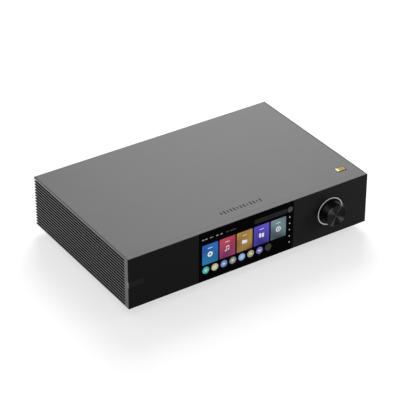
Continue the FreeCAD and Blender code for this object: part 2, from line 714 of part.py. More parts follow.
def encoder_rotor():
    """Detent wheel that the flatted end of the shaft turns and slides through."""
    piece = Piece("encoder_rotor")
    piece.add("y", "rotor_front", "rotor_front + rotor_thickness",
              disc("knob_right", "knob_z", "rotor_radius"))
    piece.cut("y", "rotor_front", "rotor_front + rotor_thickness",
              disc("knob_right", "knob_z", "shaft_radius + shaft_fit"))
    key = "shaft_flat + shaft_fit"
    width = "shaft_radius"
    piece.add("y", "rotor_front", "rotor_front + rotor_thickness",
              rect(f"knob_right - {width}", f"knob_right + {width}", f"knob_z + {key}",
                   "knob_z + shaft_radius + seam"))


def encoder_shaft():
    """Steel shaft from inside the knob to the switch at the back of the encoder."""
    piece = Piece("encoder_shaft")
    piece.add("y", "knob_front + shaft_cover", "shaft_back", disc("knob_right", "knob_z", "shaft_radius"))
    piece.cut("y", "frame_back", "shaft_back", flatted("shaft_radius", "shaft_flat"))


def volume_knob():
    """Turned aluminium knob: solid front, hollow back with a bored boss, one fine groove."""
    piece = Piece("volume_knob")
    face = number("knob_proud")
    piece.add("y", "knob_front", "knob_back", disc("knob_right", "knob_z", "knob_radius"))
    piece.cut("y", "knob_back - knob_hollow_depth", "knob_back",
              disc("knob_right", "knob_z", "knob_hollow_radius"),
              disc("knob_right", "knob_z", "knob_boss_radius"))
    piece.cut("y", "knob_front + shaft_cover", "knob_back",
              disc("knob_right", "knob_z", "shaft_radius + shaft_fit / 2"))
    piece.cut("y", "knob_front + knob_groove_back",
              "knob_front + knob_groove_back + knob_groove_width",
              disc("knob_right", "knob_z", "knob_radius + seam"),
              disc("knob_right", "knob_z", "knob_radius - knob_groove_depth"))
    piece.cut("z", "knob_z - knob_radius - seam", "knob_z - shaft_radius",
              disc("knob_right", "knob_back - knob_hollow_depth / 2", "grub_radius + ring_gap"))
    front = (number("knob_proud") - number("jack_proud") - number("case_depth")) / 2 - face
    piece.chamfer("knob_chamfer", lambda p: abs(p.y - front) < 1e-6)


def grub_screw():
    piece = Piece("grub_screw")
    piece.add("z", "knob_z - shaft_radius - grub_length", "knob_z - shaft_radius",
              disc("knob_right", "knob_back - knob_hollow_depth / 2", "grub_radius"))


def gold_badge():
    """Small plain gilt plate let into the cover."""
    piece = Piece("gold_badge")
    piece.add("z", "case_high - badge_sink", "case_high - badge_sink + badge_height",
              box_about("badge_x", "badge_y", "badge_width", "badge_depth"))


# ---------------------------------------------------------------- rear sockets

def phono_places():
    return [(x, z) for x in ("rca_out", "rca_in", "rca_digital") for z in STACK]


def xlr_jacks(label, places):
    """Balanced sockets: square flange outside, round barrel inside, open cavity."""
    piece = Piece(label)
    piece.add("y", "back_y", "back_y + xlr_flange",
              *[box_about(x, "jack_mid", "xlr_flange_width", "xlr_flange_height") for x in places])
    piece.add("y", "back_y - xlr_length", "back_y", *[disc(x, "jack_mid", "xlr_radius") for x in places])
    piece.cut("y", "back_y + xlr_flange - xlr_cavity", "back_y + xlr_flange",
              *[disc(x, "jack_mid", "xlr_bore") for x in places])
    return piece


def xlr_contacts(radius, places):
    """Three contacts on a circle about each socket's axis."""
    circle = ((0, -1), (-0.866, 0.5), (0.866, 0.5))
    return [disc(f"{x} + {across} * xlr_pin_circle", f"jack_mid + {up} * xlr_pin_circle", radius)
            for x in places for across, up in circle]


def xlr_output_jacks():
    xlr_jacks("xlr_output_jacks", XLR_OUTPUTS)


def xlr_output_pins():
    """Three pins in each output socket."""
    piece = Piece("xlr_output_pins")
    floor = "back_y + xlr_flange - xlr_cavity"
    piece.add("y", floor, f"{floor} + xlr_pin_length", *xlr_contacts("xlr_pin_radius", XLR_OUTPUTS))


def xlr_input_jacks():
    """Input sockets, each with a slot above the cavity for its latch tab."""
    piece = xlr_jacks("xlr_input_jacks", XLR_INPUTS)
    face = "back_y + xlr_flange"
    piece.cut("y", f"{face} - tab_length - tab_proud", face,
              *[box_about(x, "jack_mid + tab_up", "tab_width + 2 * tab_gap", "tab_height + 2 * tab_gap")
                for x in XLR_INPUTS])


def xlr_input_inserts():
    """Insulators with three contact holes each."""
    piece = Piece("xlr_input_inserts")
    floor = "back_y + xlr_flange - xlr_cavity"
    face = "back_y + xlr_flange - seam"
    piece.add("y", floor, face, *[disc(x, "jack_mid", "xlr_insert_radius") for x in XLR_INPUTS])
    piece.cut("y", f"{face} - xlr_pin_length", face, *xlr_contacts("xlr_hole_radius", XLR_INPUTS))


def latch_tab(label, across):
    """Sliding tab that is pressed to let a plug go."""
    piece = Piece(label)
    face = "back_y + xlr_flange"
    piece.add("y", f"{face} - tab_length", f"{face} + tab_proud",
              box_about(across, "jack_mid + tab_up", "tab_width", "tab_height"))


def phono_shells():
    """Gilt outer shells with a collar against the panel."""
    piece = Piece("phono_shells")
    places = phono_places()
    piece.add("y", "back_y - rca_inside", "back_y + rca_proud",
              *[disc(x, z, "rca_radius") for x, z in places])
    piece.add("y", "back_y", "back_y + rca_collar", *[disc(x, z, "rca_collar_radius") for x, z in places])
    piece.cut("y", "back_y - rca_inside", "back_y + rca_proud",
              *[disc(x, z, "rca_bore") for x, z in places])


def phono_cores():
    """Insulators with the centre contact's hole."""
    piece = Piece("phono_cores")
    places = phono_places()
    piece.add("y", "back_y - rca_core_back", "back_y + rca_proud - seam",
              *[disc(x, z, "rca_core_radius") for x, z in places])
    piece.cut("y", "back_y", "back_y + rca_proud - seam",
              *[disc(x, z, "rca_core_bore") for x, z in places])


def shutter_pin(height):
    """Centre of a shutter's hinge pin, along Y and Z."""
    along = "back_y + optical_proud - 2 * shutter_pin_radius"
    up = f"{height} + optical_mouth_height / 2 - shutter_gap - shutter_pin_radius"
    return along, up


def optical_jacks():
    """Optical sockets, one above the other, each with a square mouth, and their bezel."""
    piece = Piece("optical_jacks")
    piece.add("y", "rear_in", "back_y", box_about("optical_x", "jack_mid", "bezel_width", "bezel_height"))
    piece.cut("y", "rear_in", "back_y",
              *[box_about("optical_x", z, "optical_width + 2 * data_hole_gap",
                          "optical_height + 2 * data_hole_gap") for z in STACK])
    face = "back_y + optical_proud"
    piece.add("y", f"{face} - optical_depth", face,
              *[box_about("optical_x", z, "optical_width", "optical_height") for z in STACK])
    piece.cut("y", f"{face} - optical_cavity", face,
              *[box_about("optical_x", z, "optical_mouth_width", "optical_mouth_height") for z in STACK])
    piece.cut("x", "optical_x - optical_width / 2", "optical_x + optical_width / 2",
              *[disc(*shutter_pin(z), "shutter_pin_radius + shaft_fit") for z in STACK])


def optical_shutter(label, height):
    """Sprung flap hung on a pin across the top of a mouth."""
    piece = Piece(label)
    along, up = shutter_pin(height)
    reach = "optical_mouth_width / 2 + 2 * shutter_thickness"
    piece.add("x", f"optical_x - {reach}", f"optical_x + {reach}", disc(along, up, "shutter_pin_radius"))
    piece.add("y", f"{along} - shutter_thickness / 2", f"{along} + shutter_thickness / 2",
              rect("optical_x - optical_mouth_width / 2 + shutter_gap",
                   "optical_x + optical_mouth_width / 2 - shutter_gap",
                   f"{height} - optical_mouth_height / 2 + shutter_gap", up))


def usb_jacks():
    """Double host socket above a square device socket, each mouth with its tongue."""
    piece = Piece("usb_jacks")
    face = "back_y + data_proud"
    piece.add("y", f"{face} - data_depth", face,
              box_about("usb_x", "jack_high", "usb_width", "usb_host_height"),
              box_about("usb_x", "jack_low", "usb_device_width", "usb_device_height"))
    piece.cut("y", f"{face} - data_cavity", face,
              *[box_about("usb_x", f"jack_high + {side} * usb_mouth_up", "usb_mouth_width",
                          "usb_mouth_height") for side in SIDES],
              box_about("usb_x", "jack_low", "usb_device_mouth", "usb_device_mouth"))
    piece.add("y", f"{face} - data_cavity", f"{face} - rear_thickness",
              *[rect("usb_x - usb_mouth_width / 2 + rear_thickness",
                     "usb_x + usb_mouth_width / 2 - rear_thickness",
                     f"jack_high + {side} * usb_mouth_up + seam",
                     f"jack_high + {side} * usb_mouth_up + usb_mouth_height / 2 - seam")
                for side in SIDES])


def network_jack():
    piece = Piece("network_jack")
    face = "back_y + data_proud"
    piece.add("y", f"{face} - data_depth", face,
              box_about("network_x", "jack_high", "network_width", "network_height"))
    piece.cut("y", f"{face} - data_cavity", face,
              box_about("network_x", "jack_high", "network_mouth", "network_mouth_height"))


def video_jack():
    piece = Piece("video_jack")
    face = "back_y + data_proud"
    piece.add("y", f"{face} - data_depth", face,
              box_about("network_x", "jack_low", "video_width", "video_height"))
    piece.cut("y", f"{face} - data_cavity", face,
              box_about("network_x", "jack_low", "video_mouth", "video_mouth_height"))
    piece.add("y", f"{face} - data_cavity", f"{face} - rear_thickness",
              box_about("network_x", "jack_low", "video_mouth - 2 * rear_thickness", "shutter_thickness"))


def trigger_jacks():
    """Two 3.5 mm sockets for switching other equipment on."""
    piece = Piece("trigger_jacks")
    piece.add("y", "back_y - trigger_inside", "back_y + trigger_proud",
              *[disc("trigger_x", z, "trigger_radius") for z in STACK])
    piece.cut("y", "back_y - trigger_inside + rear_thickness", "back_y + trigger_proud",
              *[disc("trigger_x", z, "trigger_bore") for z in STACK])


def antenna_jacks():
    """Two threaded aerial sockets with their nuts and centre contacts."""
    piece = Piece("antenna_jacks")
    piece.add("y", "back_y - antenna_inside", "back_y + jack_proud",
              *[disc("antenna_x", z, "antenna_radius") for z in STACK])
    piece.add("y", "back_y", "back_y + antenna_nut",
              *[disc("antenna_x", z, "antenna_nut_radius") for z in STACK])
    piece.cut("y", "back_y + jack_proud - antenna_bore_depth", "back_y + jack_proud",
              *[disc("antenna_x", z, "antenna_bore") for z in STACK])
    piece.add("y", "back_y + jack_proud - antenna_bore_depth", "back_y + jack_proud - seam",
              *[disc("antenna_x", z, "antenna_pin_radius") for z in STACK])


# ---------------------------------------------------------------- mains

def mains_inlet():
    """Mains inlet with the fuse drawer's cavity above the socket."""
    piece = Piece("mains_inlet")
    face = "back_y + inlet_flange"
    piece.add("y", "back_y", face, box_about("inlet_x", "jack_mid", "inlet_width", "inlet_height"))
    piece.add("y", f"{face} - inlet_length", "back_y",
              box_about("inlet_x", "jack_mid", "inlet_body_width", "inlet_body_height"))
    piece.cut("y", f"{face} - inlet_cavity", face,
              box_about("inlet_x", "mouth_z", "inlet_mouth_width", "inlet_mouth_height"))
    piece.cut("y", f"{face} - drawer_length - drawer_gap", face,
              box_about("inlet_x", "drawer_z", "drawer_width", "drawer_height"))


def mains_pins():
    """Earth, line and neutral blades standing on the floor of the socket."""
    piece = Piece("mains_pins")
    floor = "back_y + inlet_flange - inlet_cavity"
    places = [("inlet_x", "mouth_z + blade_thickness")]
    places += [(f"inlet_x + {side} * blade_spread", "mouth_z - blade_thickness") for side in SIDES]
    piece.add("y", floor, f"{floor} + blade_length",
              *[box_about(x, z, "blade_thickness", "blade_width") for x, z in places])


def fuse_drawer():
    """Pull-out fuse holder: a face, a tray and a trough for the fuse."""
    piece = Piece("fuse_drawer")
    face = "back_y + inlet_flange"
    piece.add("y", f"{face} - drawer_length", face,
              box_about("inlet_x", "drawer_z", "drawer_width - 2 * drawer_gap",
                        "drawer_height - 2 * drawer_gap"))
    piece.add("y", face, f"{face} + drawer_face",
              box_about("inlet_x", "drawer_z", "drawer_width + 2 * drawer_face",
                        "drawer_height + 2 * drawer_face"))
    piece.cut("z", "drawer_z - fuse_radius - seam", "drawer_z + drawer_height / 2",
              box_about("inlet_x", "back_y + inlet_flange - drawer_length / 2",
                        "2 * fuse_radius + 2 * seam", "fuse_length + 2 * seam"))


def fuse():
    piece = Piece("fuse")
    middle = "back_y + inlet_flange - drawer_length / 2"
    piece.add("y", f"{middle} - fuse_length / 2", f"{middle} + fuse_length / 2",
              disc("inlet_x", "drawer_z - seam", "fuse_radius"))


def rocker_housing():
    """Snap-in housing of the power switch with a cross hole for the rocker's pin."""
    piece = Piece("rocker_housing")
    width = "rocker_width + 2 * rocker_wall"
    height = "rocker_height + 2 * rocker_wall"
    piece.add("y", "back_y - rocker_depth", "back_y", box_about("rocker_x", "jack_mid", width, height))
    piece.add("y", "back_y", "back_y + rocker_flange",
              box_about("rocker_x", "jack_mid", f"{width} + 2 * rocker_flange",
                        f"{height} + 2 * rocker_flange"))
    piece.cut("y", "back_y - rocker_depth + rocker_wall", "back_y + rocker_flange",
              box_about("rocker_x", "jack_mid", "rocker_width", "rocker_height"))
    piece.cut("x", f"rocker_x - ({width}) / 2", f"rocker_x + ({width}) / 2",
              disc("pin_y", "jack_mid", "rocker_pin_radius + shaft_fit"))


def power_rocker():
    """Rocker with a dished face on a cross pin, drawn about its pin and set at off."""
    piece = Piece("power_rocker")
    half = "rocker_height / 2 - 2 * rocker_gap"
    face = "rocker_face"
    piece.add("x", "-rocker_width / 2 + rocker_gap", "rocker_width / 2 - rocker_gap",
              chain(("-rocker_thickness", f"-({half}) / 3"), ("-rocker_low", f"-({half})"),
                    (face, f"-({half})"), ("rocker_dish", "0"), (face, half),
                    ("-rocker_low", half), ("-rocker_thickness", f"({half}) / 3")))
    piece.add("x", "-rocker_width / 2 - rocker_wall", "rocker_width / 2 + rocker_wall",
              disc("0", "0", "rocker_pin_radius"))
    body = piece.body
    body.Placement.Rotation = FreeCAD.Rotation(FreeCAD.Vector(1, 0, 0), 0)
    body.setExpression("Placement.Base.x", formula("rocker_x"))
    body.setExpression("Placement.Base.y", formula("pin_y"))
    body.setExpression("Placement.Base.z", formula("jack_mid"))
    body.setExpression("Placement.Rotation.Angle", formula("rocker_tilt"))


# ---------------------------------------------------------------- inside

BOARDS = {
    "power_board": ("-power_board_left", "power_board_width", "boards_back", "power_board_span"),
    "main_board": ("-main_board_left", "main_board_width", "jack_boards_back", "main_board_depth"),
    "dac_board": ("-dac_board_left", "dac_board_width", "jack_boards_back", "dac_board_depth"),
}


def circuit_board(label):
    left, width, back, depth = BOARDS[label]
    piece = Piece(label)
    piece.add("z", "boards_z", "boards_top", rect(left, f"{left} + {width}", f"{back} - {depth}", back))


def board_standoffs():
    """Pillars under the corners of the three boards."""
    piece = Piece("board_standoffs")
    places = []
    for left, width, back, depth in BOARDS.values():
        for across in (f"{left} + standoff_inset", f"{left} + {width} - standoff_inset"):
            for along in (f"{back} - standoff_inset", f"{back} - {depth} + standoff_inset"):
                places.append(disc(across, along, "standoff_radius"))
    piece.add("z", "floor_z", "boards_z", *places)


def transformer():
    """Ring-core transformer standing on the bottom plate."""
    piece = Piece("transformer")
    piece.add("z", "floor_z", "floor_z + toroid_height", disc("toroid_x", "toroid_y", "toroid_radius"))
    piece.cut("z", "floor_z", "floor_z + toroid_height", disc("toroid_x", "toroid_y", "toroid_bore"))
    doc.recompute()
    base = piece.body.Tip
    names = [f"Edge{index}" for index, edge in enumerate(base.Shape.Edges, start=1)
             if edge.Closed and abs(edge.Curve.Radius - number("toroid_radius")) < 1e-6]
    rounded = piece.body.newObject("PartDesign::Fillet", "transformer_fillet")
    rounded.Base = (base, names)
    rounded.setExpression("Radius", formula("toroid_round"))


def transformer_clamp():
    """Pressed disc that holds the transformer down."""
    piece = Piece("transformer_clamp")
    low = "floor_z + toroid_height"
    piece.add("z", low, f"{low} + clamp_thickness", disc("toroid_x", "toroid_y", "clamp_radius"))
    piece.cut("z", low, f"{low} + clamp_thickness",
              disc("toroid_x", "toroid_y", "bolt_radius + screw_clearance"))


def transformer_bolt():
    """Bolt up through the bottom plate, with its nut on the clamp."""
    piece = Piece("transformer_bolt")
    clamp_top = "floor_z + toroid_height + clamp_thickness"
    shank = disc("toroid_x", "toroid_y", "bolt_radius")
    head = disc("toroid_x", "toroid_y", "bolt_head")
    piece.add("z", "foot_height", f"{clamp_top} + bolt_head_height", shank)
    piece.add("z", "foot_height - bolt_head_height", "foot_height", head)
    piece.add("z", clamp_top, f"{clamp_top} + bolt_head_height / 2", head)


def power_capacitors():
    """Row of reservoir capacitors on the power board."""
    piece = Piece("power_capacitors")
    first = "-power_board_left + power_board_width / 2 - capacitor_pitch * (capacitor_count - 1) / 2"
    along = "boards_back - power_board_span / 2"
    pad = piece.add("z", "boards_top", "boards_top + capacitor_height",
                    disc(first, along, "capacitor_radius"))
    piece.repeat(pad, "H_Axis", "capacitor_pitch * (capacitor_count - 1)", "capacitor_count")


def processor_heatsink():
    """Finned heat sink on the main board's processor."""
    piece = Piece("processor_heatsink")
    x = "-main_board_left + main_board_width / 2"
    y = "jack_boards_back - main_board_depth / 2"
    low = "boards_top + chip_height"
    piece.add("z", low, f"{low} + heatsink_base", box_about(x, y, "heatsink_width", "heatsink_depth"))
    piece.add("z", "boards_top", low, box_about(x, y, "heatsink_width / 2", "heatsink_depth / 2"))
    first = f"{x} - heatsink_width / 2"
    fin = piece.add("z", f"{low} + heatsink_base", f"{low} + heatsink_height",
                    rect(first, f"{first} + heatsink_fin", f"{y} - heatsink_depth / 2",
                         f"{y} + heatsink_depth / 2"))
    piece.repeat(fin, "H_Axis", "heatsink_pitch * (heatsink_count - 1)", "heatsink_count")


def solid_state_drive():
    """Stick drive lying over its hatch."""
    piece = Piece("solid_state_drive")
    low = "floor_z + drive_lift"
    piece.add("z", low, f"{low} + drive_thickness",
              box_about("hatch_x", "hatch_y", "drive_width", "drive_depth"))


# ---------------------------------------------------------------- build

def build():
    """Makes every sub-part."""
    top_cover()
    for side, name in zip(SIDES, ("side_panel_left", "side_panel_right")):
        side_panel(side, name)
    for make in (front_frame, rear_panel, bottom_plate, drive_hatch, feet,
                 foot_pads, case_screws, frame_screws, fascia_left, fascia_right, touch_glass,
                 infrared_window, lcd_module, display_board, display_bracket, light_ring,
                 knob_surround, ring_led_board, encoder_body, encoder_nut, encoder_rotor,
                 encoder_shaft, volume_knob, grub_screw, gold_badge, mains_inlet, mains_pins,
                 fuse_drawer, fuse, rocker_housing, power_rocker, xlr_output_jacks,
                 xlr_output_pins, xlr_input_jacks, xlr_input_inserts, phono_shells, phono_cores,
                 optical_jacks, usb_jacks, network_jack, video_jack, trigger_jacks,
                 antenna_jacks, transformer, transformer_clamp, transformer_bolt,
                 power_capacitors, processor_heatsink, board_standoffs, solid_state_drive):
        make()
    for label, across in zip(("latch_tab_right", "latch_tab_left"), XLR_INPUTS):
        latch_tab(label, across)
    for label, height in zip(("optical_shutter_lower", "optical_shutter_upper"), STACK):
        optical_shutter(label, height)
    for label in BOARDS:
        circuit_board(label)


def check():
    """Stops the build if a feature failed, a pocket cut nothing or a sub-part is unsound."""
    for feature in doc.Objects:
        if "Invalid" in feature.State or "Error" in feature.State:
            raise RuntimeError(f"{feature.Name} failed: {feature.State}")
        if feature.TypeId == "PartDesign::Pocket":
            before = feature.BaseFeature.Shape.Volume
            if feature.Shape.Volume > before * (1 - 1e-9):
                raise RuntimeError(f"{feature.Name} cut nothing")
    for piece in pieces:
        shape = piece.body.Shape
        if shape.isNull() or not shape.isValid() or not shape.Solids:
            raise RuntimeError(f"{piece.label} is not a sound solid")


def export():
    """Writes one STEP file per sub-part."""
    os.makedirs("parts", exist_ok=True)
    for piece in pieces:
        piece.body.Shape.exportStep(f"parts/{piece.label}.step")
        print(f"{piece.label}: {len(piece.body.Shape.Solids)} solid(s)")


fill_sheet()
build()
doc.recompute()
check()
export()
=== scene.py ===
"""Looks of a full-size desktop DAC: finned grey case, touch screen, lit knob, rear sockets."""
import json
import math

import bmesh
import bpy
import numpy as np
from bpy.props import FloatProperty, FloatVectorProperty, IntProperty, PointerProperty
from bpy.types import Operator, Panel, PropertyGroup
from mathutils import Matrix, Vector

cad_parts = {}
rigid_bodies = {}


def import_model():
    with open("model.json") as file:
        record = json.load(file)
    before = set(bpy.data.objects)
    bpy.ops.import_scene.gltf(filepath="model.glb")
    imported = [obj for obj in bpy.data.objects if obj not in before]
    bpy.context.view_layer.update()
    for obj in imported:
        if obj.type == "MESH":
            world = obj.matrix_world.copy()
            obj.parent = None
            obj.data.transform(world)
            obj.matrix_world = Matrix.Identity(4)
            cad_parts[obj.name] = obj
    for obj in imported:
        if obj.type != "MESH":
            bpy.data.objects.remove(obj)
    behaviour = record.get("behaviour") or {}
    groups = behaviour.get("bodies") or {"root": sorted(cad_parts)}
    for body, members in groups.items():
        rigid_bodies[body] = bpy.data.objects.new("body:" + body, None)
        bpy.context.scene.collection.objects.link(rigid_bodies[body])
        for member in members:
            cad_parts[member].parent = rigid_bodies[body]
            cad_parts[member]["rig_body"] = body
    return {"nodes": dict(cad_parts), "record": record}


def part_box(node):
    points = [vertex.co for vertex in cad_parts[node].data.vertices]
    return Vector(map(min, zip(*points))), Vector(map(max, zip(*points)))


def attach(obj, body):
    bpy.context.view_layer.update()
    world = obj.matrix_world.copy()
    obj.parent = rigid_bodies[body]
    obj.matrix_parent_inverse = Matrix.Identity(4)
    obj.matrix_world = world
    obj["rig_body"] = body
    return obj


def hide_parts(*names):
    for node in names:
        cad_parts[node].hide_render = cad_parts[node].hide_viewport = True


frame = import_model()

bl_info = {
    "name": "Desktop DAC looks",
    "version": (1, 0, 0),
    "blender": (4, 5, 0),
    "location": "3D View > Sidebar > DAC",
    "description": "Builds the finishes and fine pieces of a desktop DAC round its CAD frame",
    "category": "Object",
}

MM = 0.001
TURN = 2 * math.pi
# Solid turned shapes end this far from their axis, and screws half as far, so that no face
# shrinks to a line.
NEAR_AXIS = 0.02 * MM
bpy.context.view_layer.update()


# ---------------------------------------------------------------- colour and nodes

def linear(code):
    """sRGB hex to linear RGB."""
    parts = [int(code[i:i + 2], 16) / 255 for i in (1, 3, 5)]
    return tuple(c / 12.92 if c <= 0.04045 else ((c + 0.055) / 1.055) ** 2.4 for c in parts)


def rgba(colour):
    """The colour with full alpha."""
    return (*colour[:3], 1.0)


def shade(colour, factor):
    """The colour made lighter or darker by a factor, kept under white."""
    return tuple(min(1.0, c * factor) for c in colour[:3])


def add(tree, kind, settings=None, **links):
    """Adds a node, sets its attributes or inputs from settings, and links its inputs."""
    node = tree.nodes.new(kind)
    for key, value in (settings or {}).items():
        if isinstance(key, str) and hasattr(node, key):
            setattr(node, key, value)
        else:
            node.inputs[key].default_value = value
    for key, source in links.items():
        name = key.replace("_", " ")
        socket = node.inputs[int(key[2:])] if key.startswith("at") else node.inputs[name]
        tree.links.new(source, socket)
    return node


def new_material(name):
    """A material with one shader: the material, its node tree and the shader."""
    made = bpy.data.materials.new(name)
    made.use_nodes = True
    tree = made.node_tree
    tree.nodes.clear()
    shader = tree.nodes.new("ShaderNodeBsdfPrincipled")
    out = tree.nodes.new("ShaderNodeOutputMaterial")
    tree.links.new(shader.outputs[0], out.inputs["Surface"])
    return made, tree, shader


def surface(name, colour, metallic, rough, grit_mm, bump, mottle=0.05, mottle_mm=18, **sockets):
    """A finish with slight colour mottling, uneven roughness and a fine grain of grit_mm."""
    uneven = 0.04
    made, tree, shader = new_material(name)
    where = add(tree, "ShaderNodeTexCoord").outputs["Object"]
    cloud = add(tree, "ShaderNodeTexNoise", {"Scale": 1 / (mottle_mm * MM), "Detail": 3.0},
                Vector=where)
    grain = add(tree, "ShaderNodeTexNoise", {"Scale": 1 / (grit_mm * MM), "Detail": 2.0},
                Vector=where)
    tone = add(tree, "ShaderNodeMix", {"data_type": "RGBA", 6: rgba(shade(colour, 1 - mottle)),
                                       7: rgba(shade(colour, 1 + mottle))},
               at0=cloud.outputs[0])
    gloss = add(tree, "ShaderNodeMapRange", {"To Min": rough - uneven, "To Max": rough + uneven},
                Value=grain.outputs[0])
    relief = add(tree, "ShaderNodeBump", {"Strength": bump, "Distance": grit_mm * MM * 0.5},
                 Height=grain.outputs[0])
    tree.links.new(tone.outputs[2], shader.inputs["Base Color"])
    tree.links.new(gloss.outputs[0], shader.inputs["Roughness"])
    tree.links.new(relief.outputs[0], shader.inputs["Normal"])
    shader.inputs["Metallic"].default_value = metallic
    for key, value in sockets.items():
        shader.inputs[key.replace("_", " ")].default_value = value
    return made, tree, shader, where


# ---------------------------------------------------------------- finishes

def blasted_anodised_aluminium(colour):
    """Bead-blasted, grey-anodised aluminium: an even satin grey with a grain of about 0.3 mm,
    drawn at 0.6 mm so that it shows."""
    return surface("blasted anodised aluminium", colour, 1.0, 0.46, 0.6, 0.16, 0.025, 30)[0]


def finned_aluminium(colour, outer, depth):
    """The same blasted aluminium on the tips, lightened to 1.2 times its colour as a painted
    highlight. The walls of the grooves are painted shade, near black and matt, so that the tips stand
    out as thin light lines."""
    made, tree, shader, where = surface("blasted aluminium, painted groove shade", colour, 1.0, 0.46, 0.6,
                                        0.16, 0.025, 30)
    bright_from = outer - 0.05 * MM
    # Painted shade: the groove walls get 0.04 of the colour; painted highlight: the tips get 1.2
    # times it.
    groove, tip_painted_highlight = rgba(shade(colour, 0.04)), rgba(shade(colour, 1.2))
    reach = add(tree, "ShaderNodeSeparateXYZ", Vector=where).outputs["X"]
    away = add(tree, "ShaderNodeMath", {"operation": "ABSOLUTE"}, at0=reach).outputs[0]
    tip = add(tree, "ShaderNodeMapRange", {"From Min": outer - depth, "From Max": bright_from},
              Value=away).outputs[0]
    tone = add(tree, "ShaderNodeMix", {"data_type": "RGBA", 6: groove, 7: tip_painted_highlight}, at0=tip)
    tree.links.new(tone.outputs[2], shader.inputs["Base Color"])
    tree.links.new(tip, shader.inputs["Metallic"])
    shader.inputs["Specular IOR Level"].default_value = 0.03
    return made


def black_anodised_plate(colour):
    """Black-dyed anodised aluminium plate with a fine matt etch: near black, very weak gloss."""
    return surface("black anodised plate", colour, 0.0, 0.42, 0.5, 0.10, 0.06, 26,
                   Specular_IOR_Level=0.05)[0]


def coated_screen_glass(colour):
    """Float glass, painted black behind and coated against reflections: deep black and smooth."""
    return surface("coated screen glass", colour, 0.0, 0.08, 8, 0.01, 0.1, 40,
                   Specular_IOR_Level=0.008)[0]


def smoked_polycarbonate(colour, end, edge):
    """Smoked polycarbonate, moulded with a satin face: slightly lighter than the plate. Its
    end face, at edge, is grey like the case, and the grey fades out over 0.5 mm."""
    made, tree, shader, where = surface("smoked polycarbonate", colour, 0.0, 0.34, 0.4, 0.05,
                                        0.05, 12, Specular_IOR_Level=0.06)
    reach = add(tree, "ShaderNodeSeparateXYZ", Vector=where).outputs["X"]
    share = add(tree, "ShaderNodeMapRange", {"From Min": edge, "From Max": edge + 0.5 * MM,
                                             "To Min": 1.0, "To Max": 0.0}, Value=reach)
    tone = add(tree, "ShaderNodeMix", {"data_type": "RGBA", 6: rgba(colour),
                                       7: rgba(end)}, at0=share.outputs[0])
    tree.links.new(tone.outputs[2], shader.inputs["Base Color"])
    return made


def moulded_abs(name, colour, rough=0.5):
    """Moulded ABS with a fine spark-eroded texture of about 0.35 mm."""
    return surface(name, colour, 0.0, rough, 0.35, 0.18, 0.06, 10, Specular_IOR_Level=0.4)[0]


def powder_coat(colour):
    """Fine-texture powder coat on steel sheet: an orange-peel grain of about 0.8 mm."""
    return surface("powder coated steel", colour, 0.0, 0.55, 0.8, 0.35, 0.08, 24,
                   Specular_IOR_Level=0.35)[0]


def plated(name, colour, rough):
    """Electroplated metal: bright, with faint polishing marks about 0.5 mm apart."""
    return surface(name, colour, 1.0, rough, 0.5, 0.06, 0.05, 6)[0]


def foot_aluminium(colour):
    """Turned and anodised aluminium: satin, with a grain of tool marks about 0.5 mm across."""
    return surface("turned foot aluminium", colour, 1.0, 0.4, 0.5, 0.1, 0.03, 20)[0]


def foot_rubber(colour):
    """Moulded nitrile rubber: matt, faintly dusty, grain about 0.6 mm."""
    return surface("nitrile rubber", colour, 0.0, 0.85, 0.6, 0.3, 0.15, 9,
                   Specular_IOR_Level=0.25)[0]


def turned_black_aluminium(colour):
    """Black-anodised aluminium turned on a lathe. Its rings are too fine to draw one by one:
    the stretched gloss gathers the highlights into wedges that meet at the axis."""
    made, tree, shader, _ = surface("turned black aluminium", colour, 1.0, 0.34, 0.5, 0.02,
                                    0.05, 14, Anisotropic=1.0, Anisotropic_Rotation=0.25)
    tangent = add(tree, "ShaderNodeTangent", {"direction_type": "RADIAL", "axis": "Y"})
    tree.links.new(tangent.outputs[0], shader.inputs["Tangent"])
    return made


def frosted_light_guide(colour, glow):
    """Frosted acrylic light guide, lit from behind: an even soft white."""
    made, _, shader, _ = surface("frosted light guide", shade(colour, 0.25), 0.0, 0.5, 0.3,
                                 0.05, 0.04, 5)
    shader.inputs["Emission Color"].default_value = rgba(colour)
    shader.inputs["Emission Strength"].default_value = glow
    return made


def circuit_laminate(colour):
    """Glass-epoxy board under green solder mask, with copper tracks 3 mm apart, which is
    coarser than real ones so that they show."""
    made, tree, shader, where = surface("circuit laminate", colour, 0.0, 0.35, 0.5, 0.05, 0.1, 9)
    tracks = add(tree, "ShaderNodeTexBrick",
                 {"Scale": 1 / (12 * MM), "Mortar Size": 0.03, "Color1": rgba(shade(colour, 0.8)),
                  "Color2": rgba(colour), "Mortar": rgba(shade(colour, 2.2))}, Vector=where)
    tree.links.new(tracks.outputs["Color"], shader.inputs["Base Color"])
    return made


def winding_tape(colour):
    """Polyester tape wound through the ring core: glossy, in light and dark bands 6 mm wide."""
    made, tree, shader, where = surface("winding tape", colour, 0.0, 0.3, 0.8, 0.05, 0.1, 12)
    turns = add(tree, "ShaderNodeTexWave", {"Scale": 1 / (40 * MM), "Distortion": 1.5},
                Vector=where)
    tone = add(tree, "ShaderNodeMix", {"data_type": "RGBA", 6: rgba(shade(colour, 0.75)),
                                       7: rgba(colour)}, at0=turns.outputs["Fac"])
    tree.links.new(tone.outputs[2], shader.inputs["Base Color"])
    return made


def fuse_tube(colour):
    """Clear glass tube of a fuse."""
    return surface("fuse glass", colour, 0.0, 0.08, 2, 0.01, 0.05, 5, Alpha=0.5)[0]


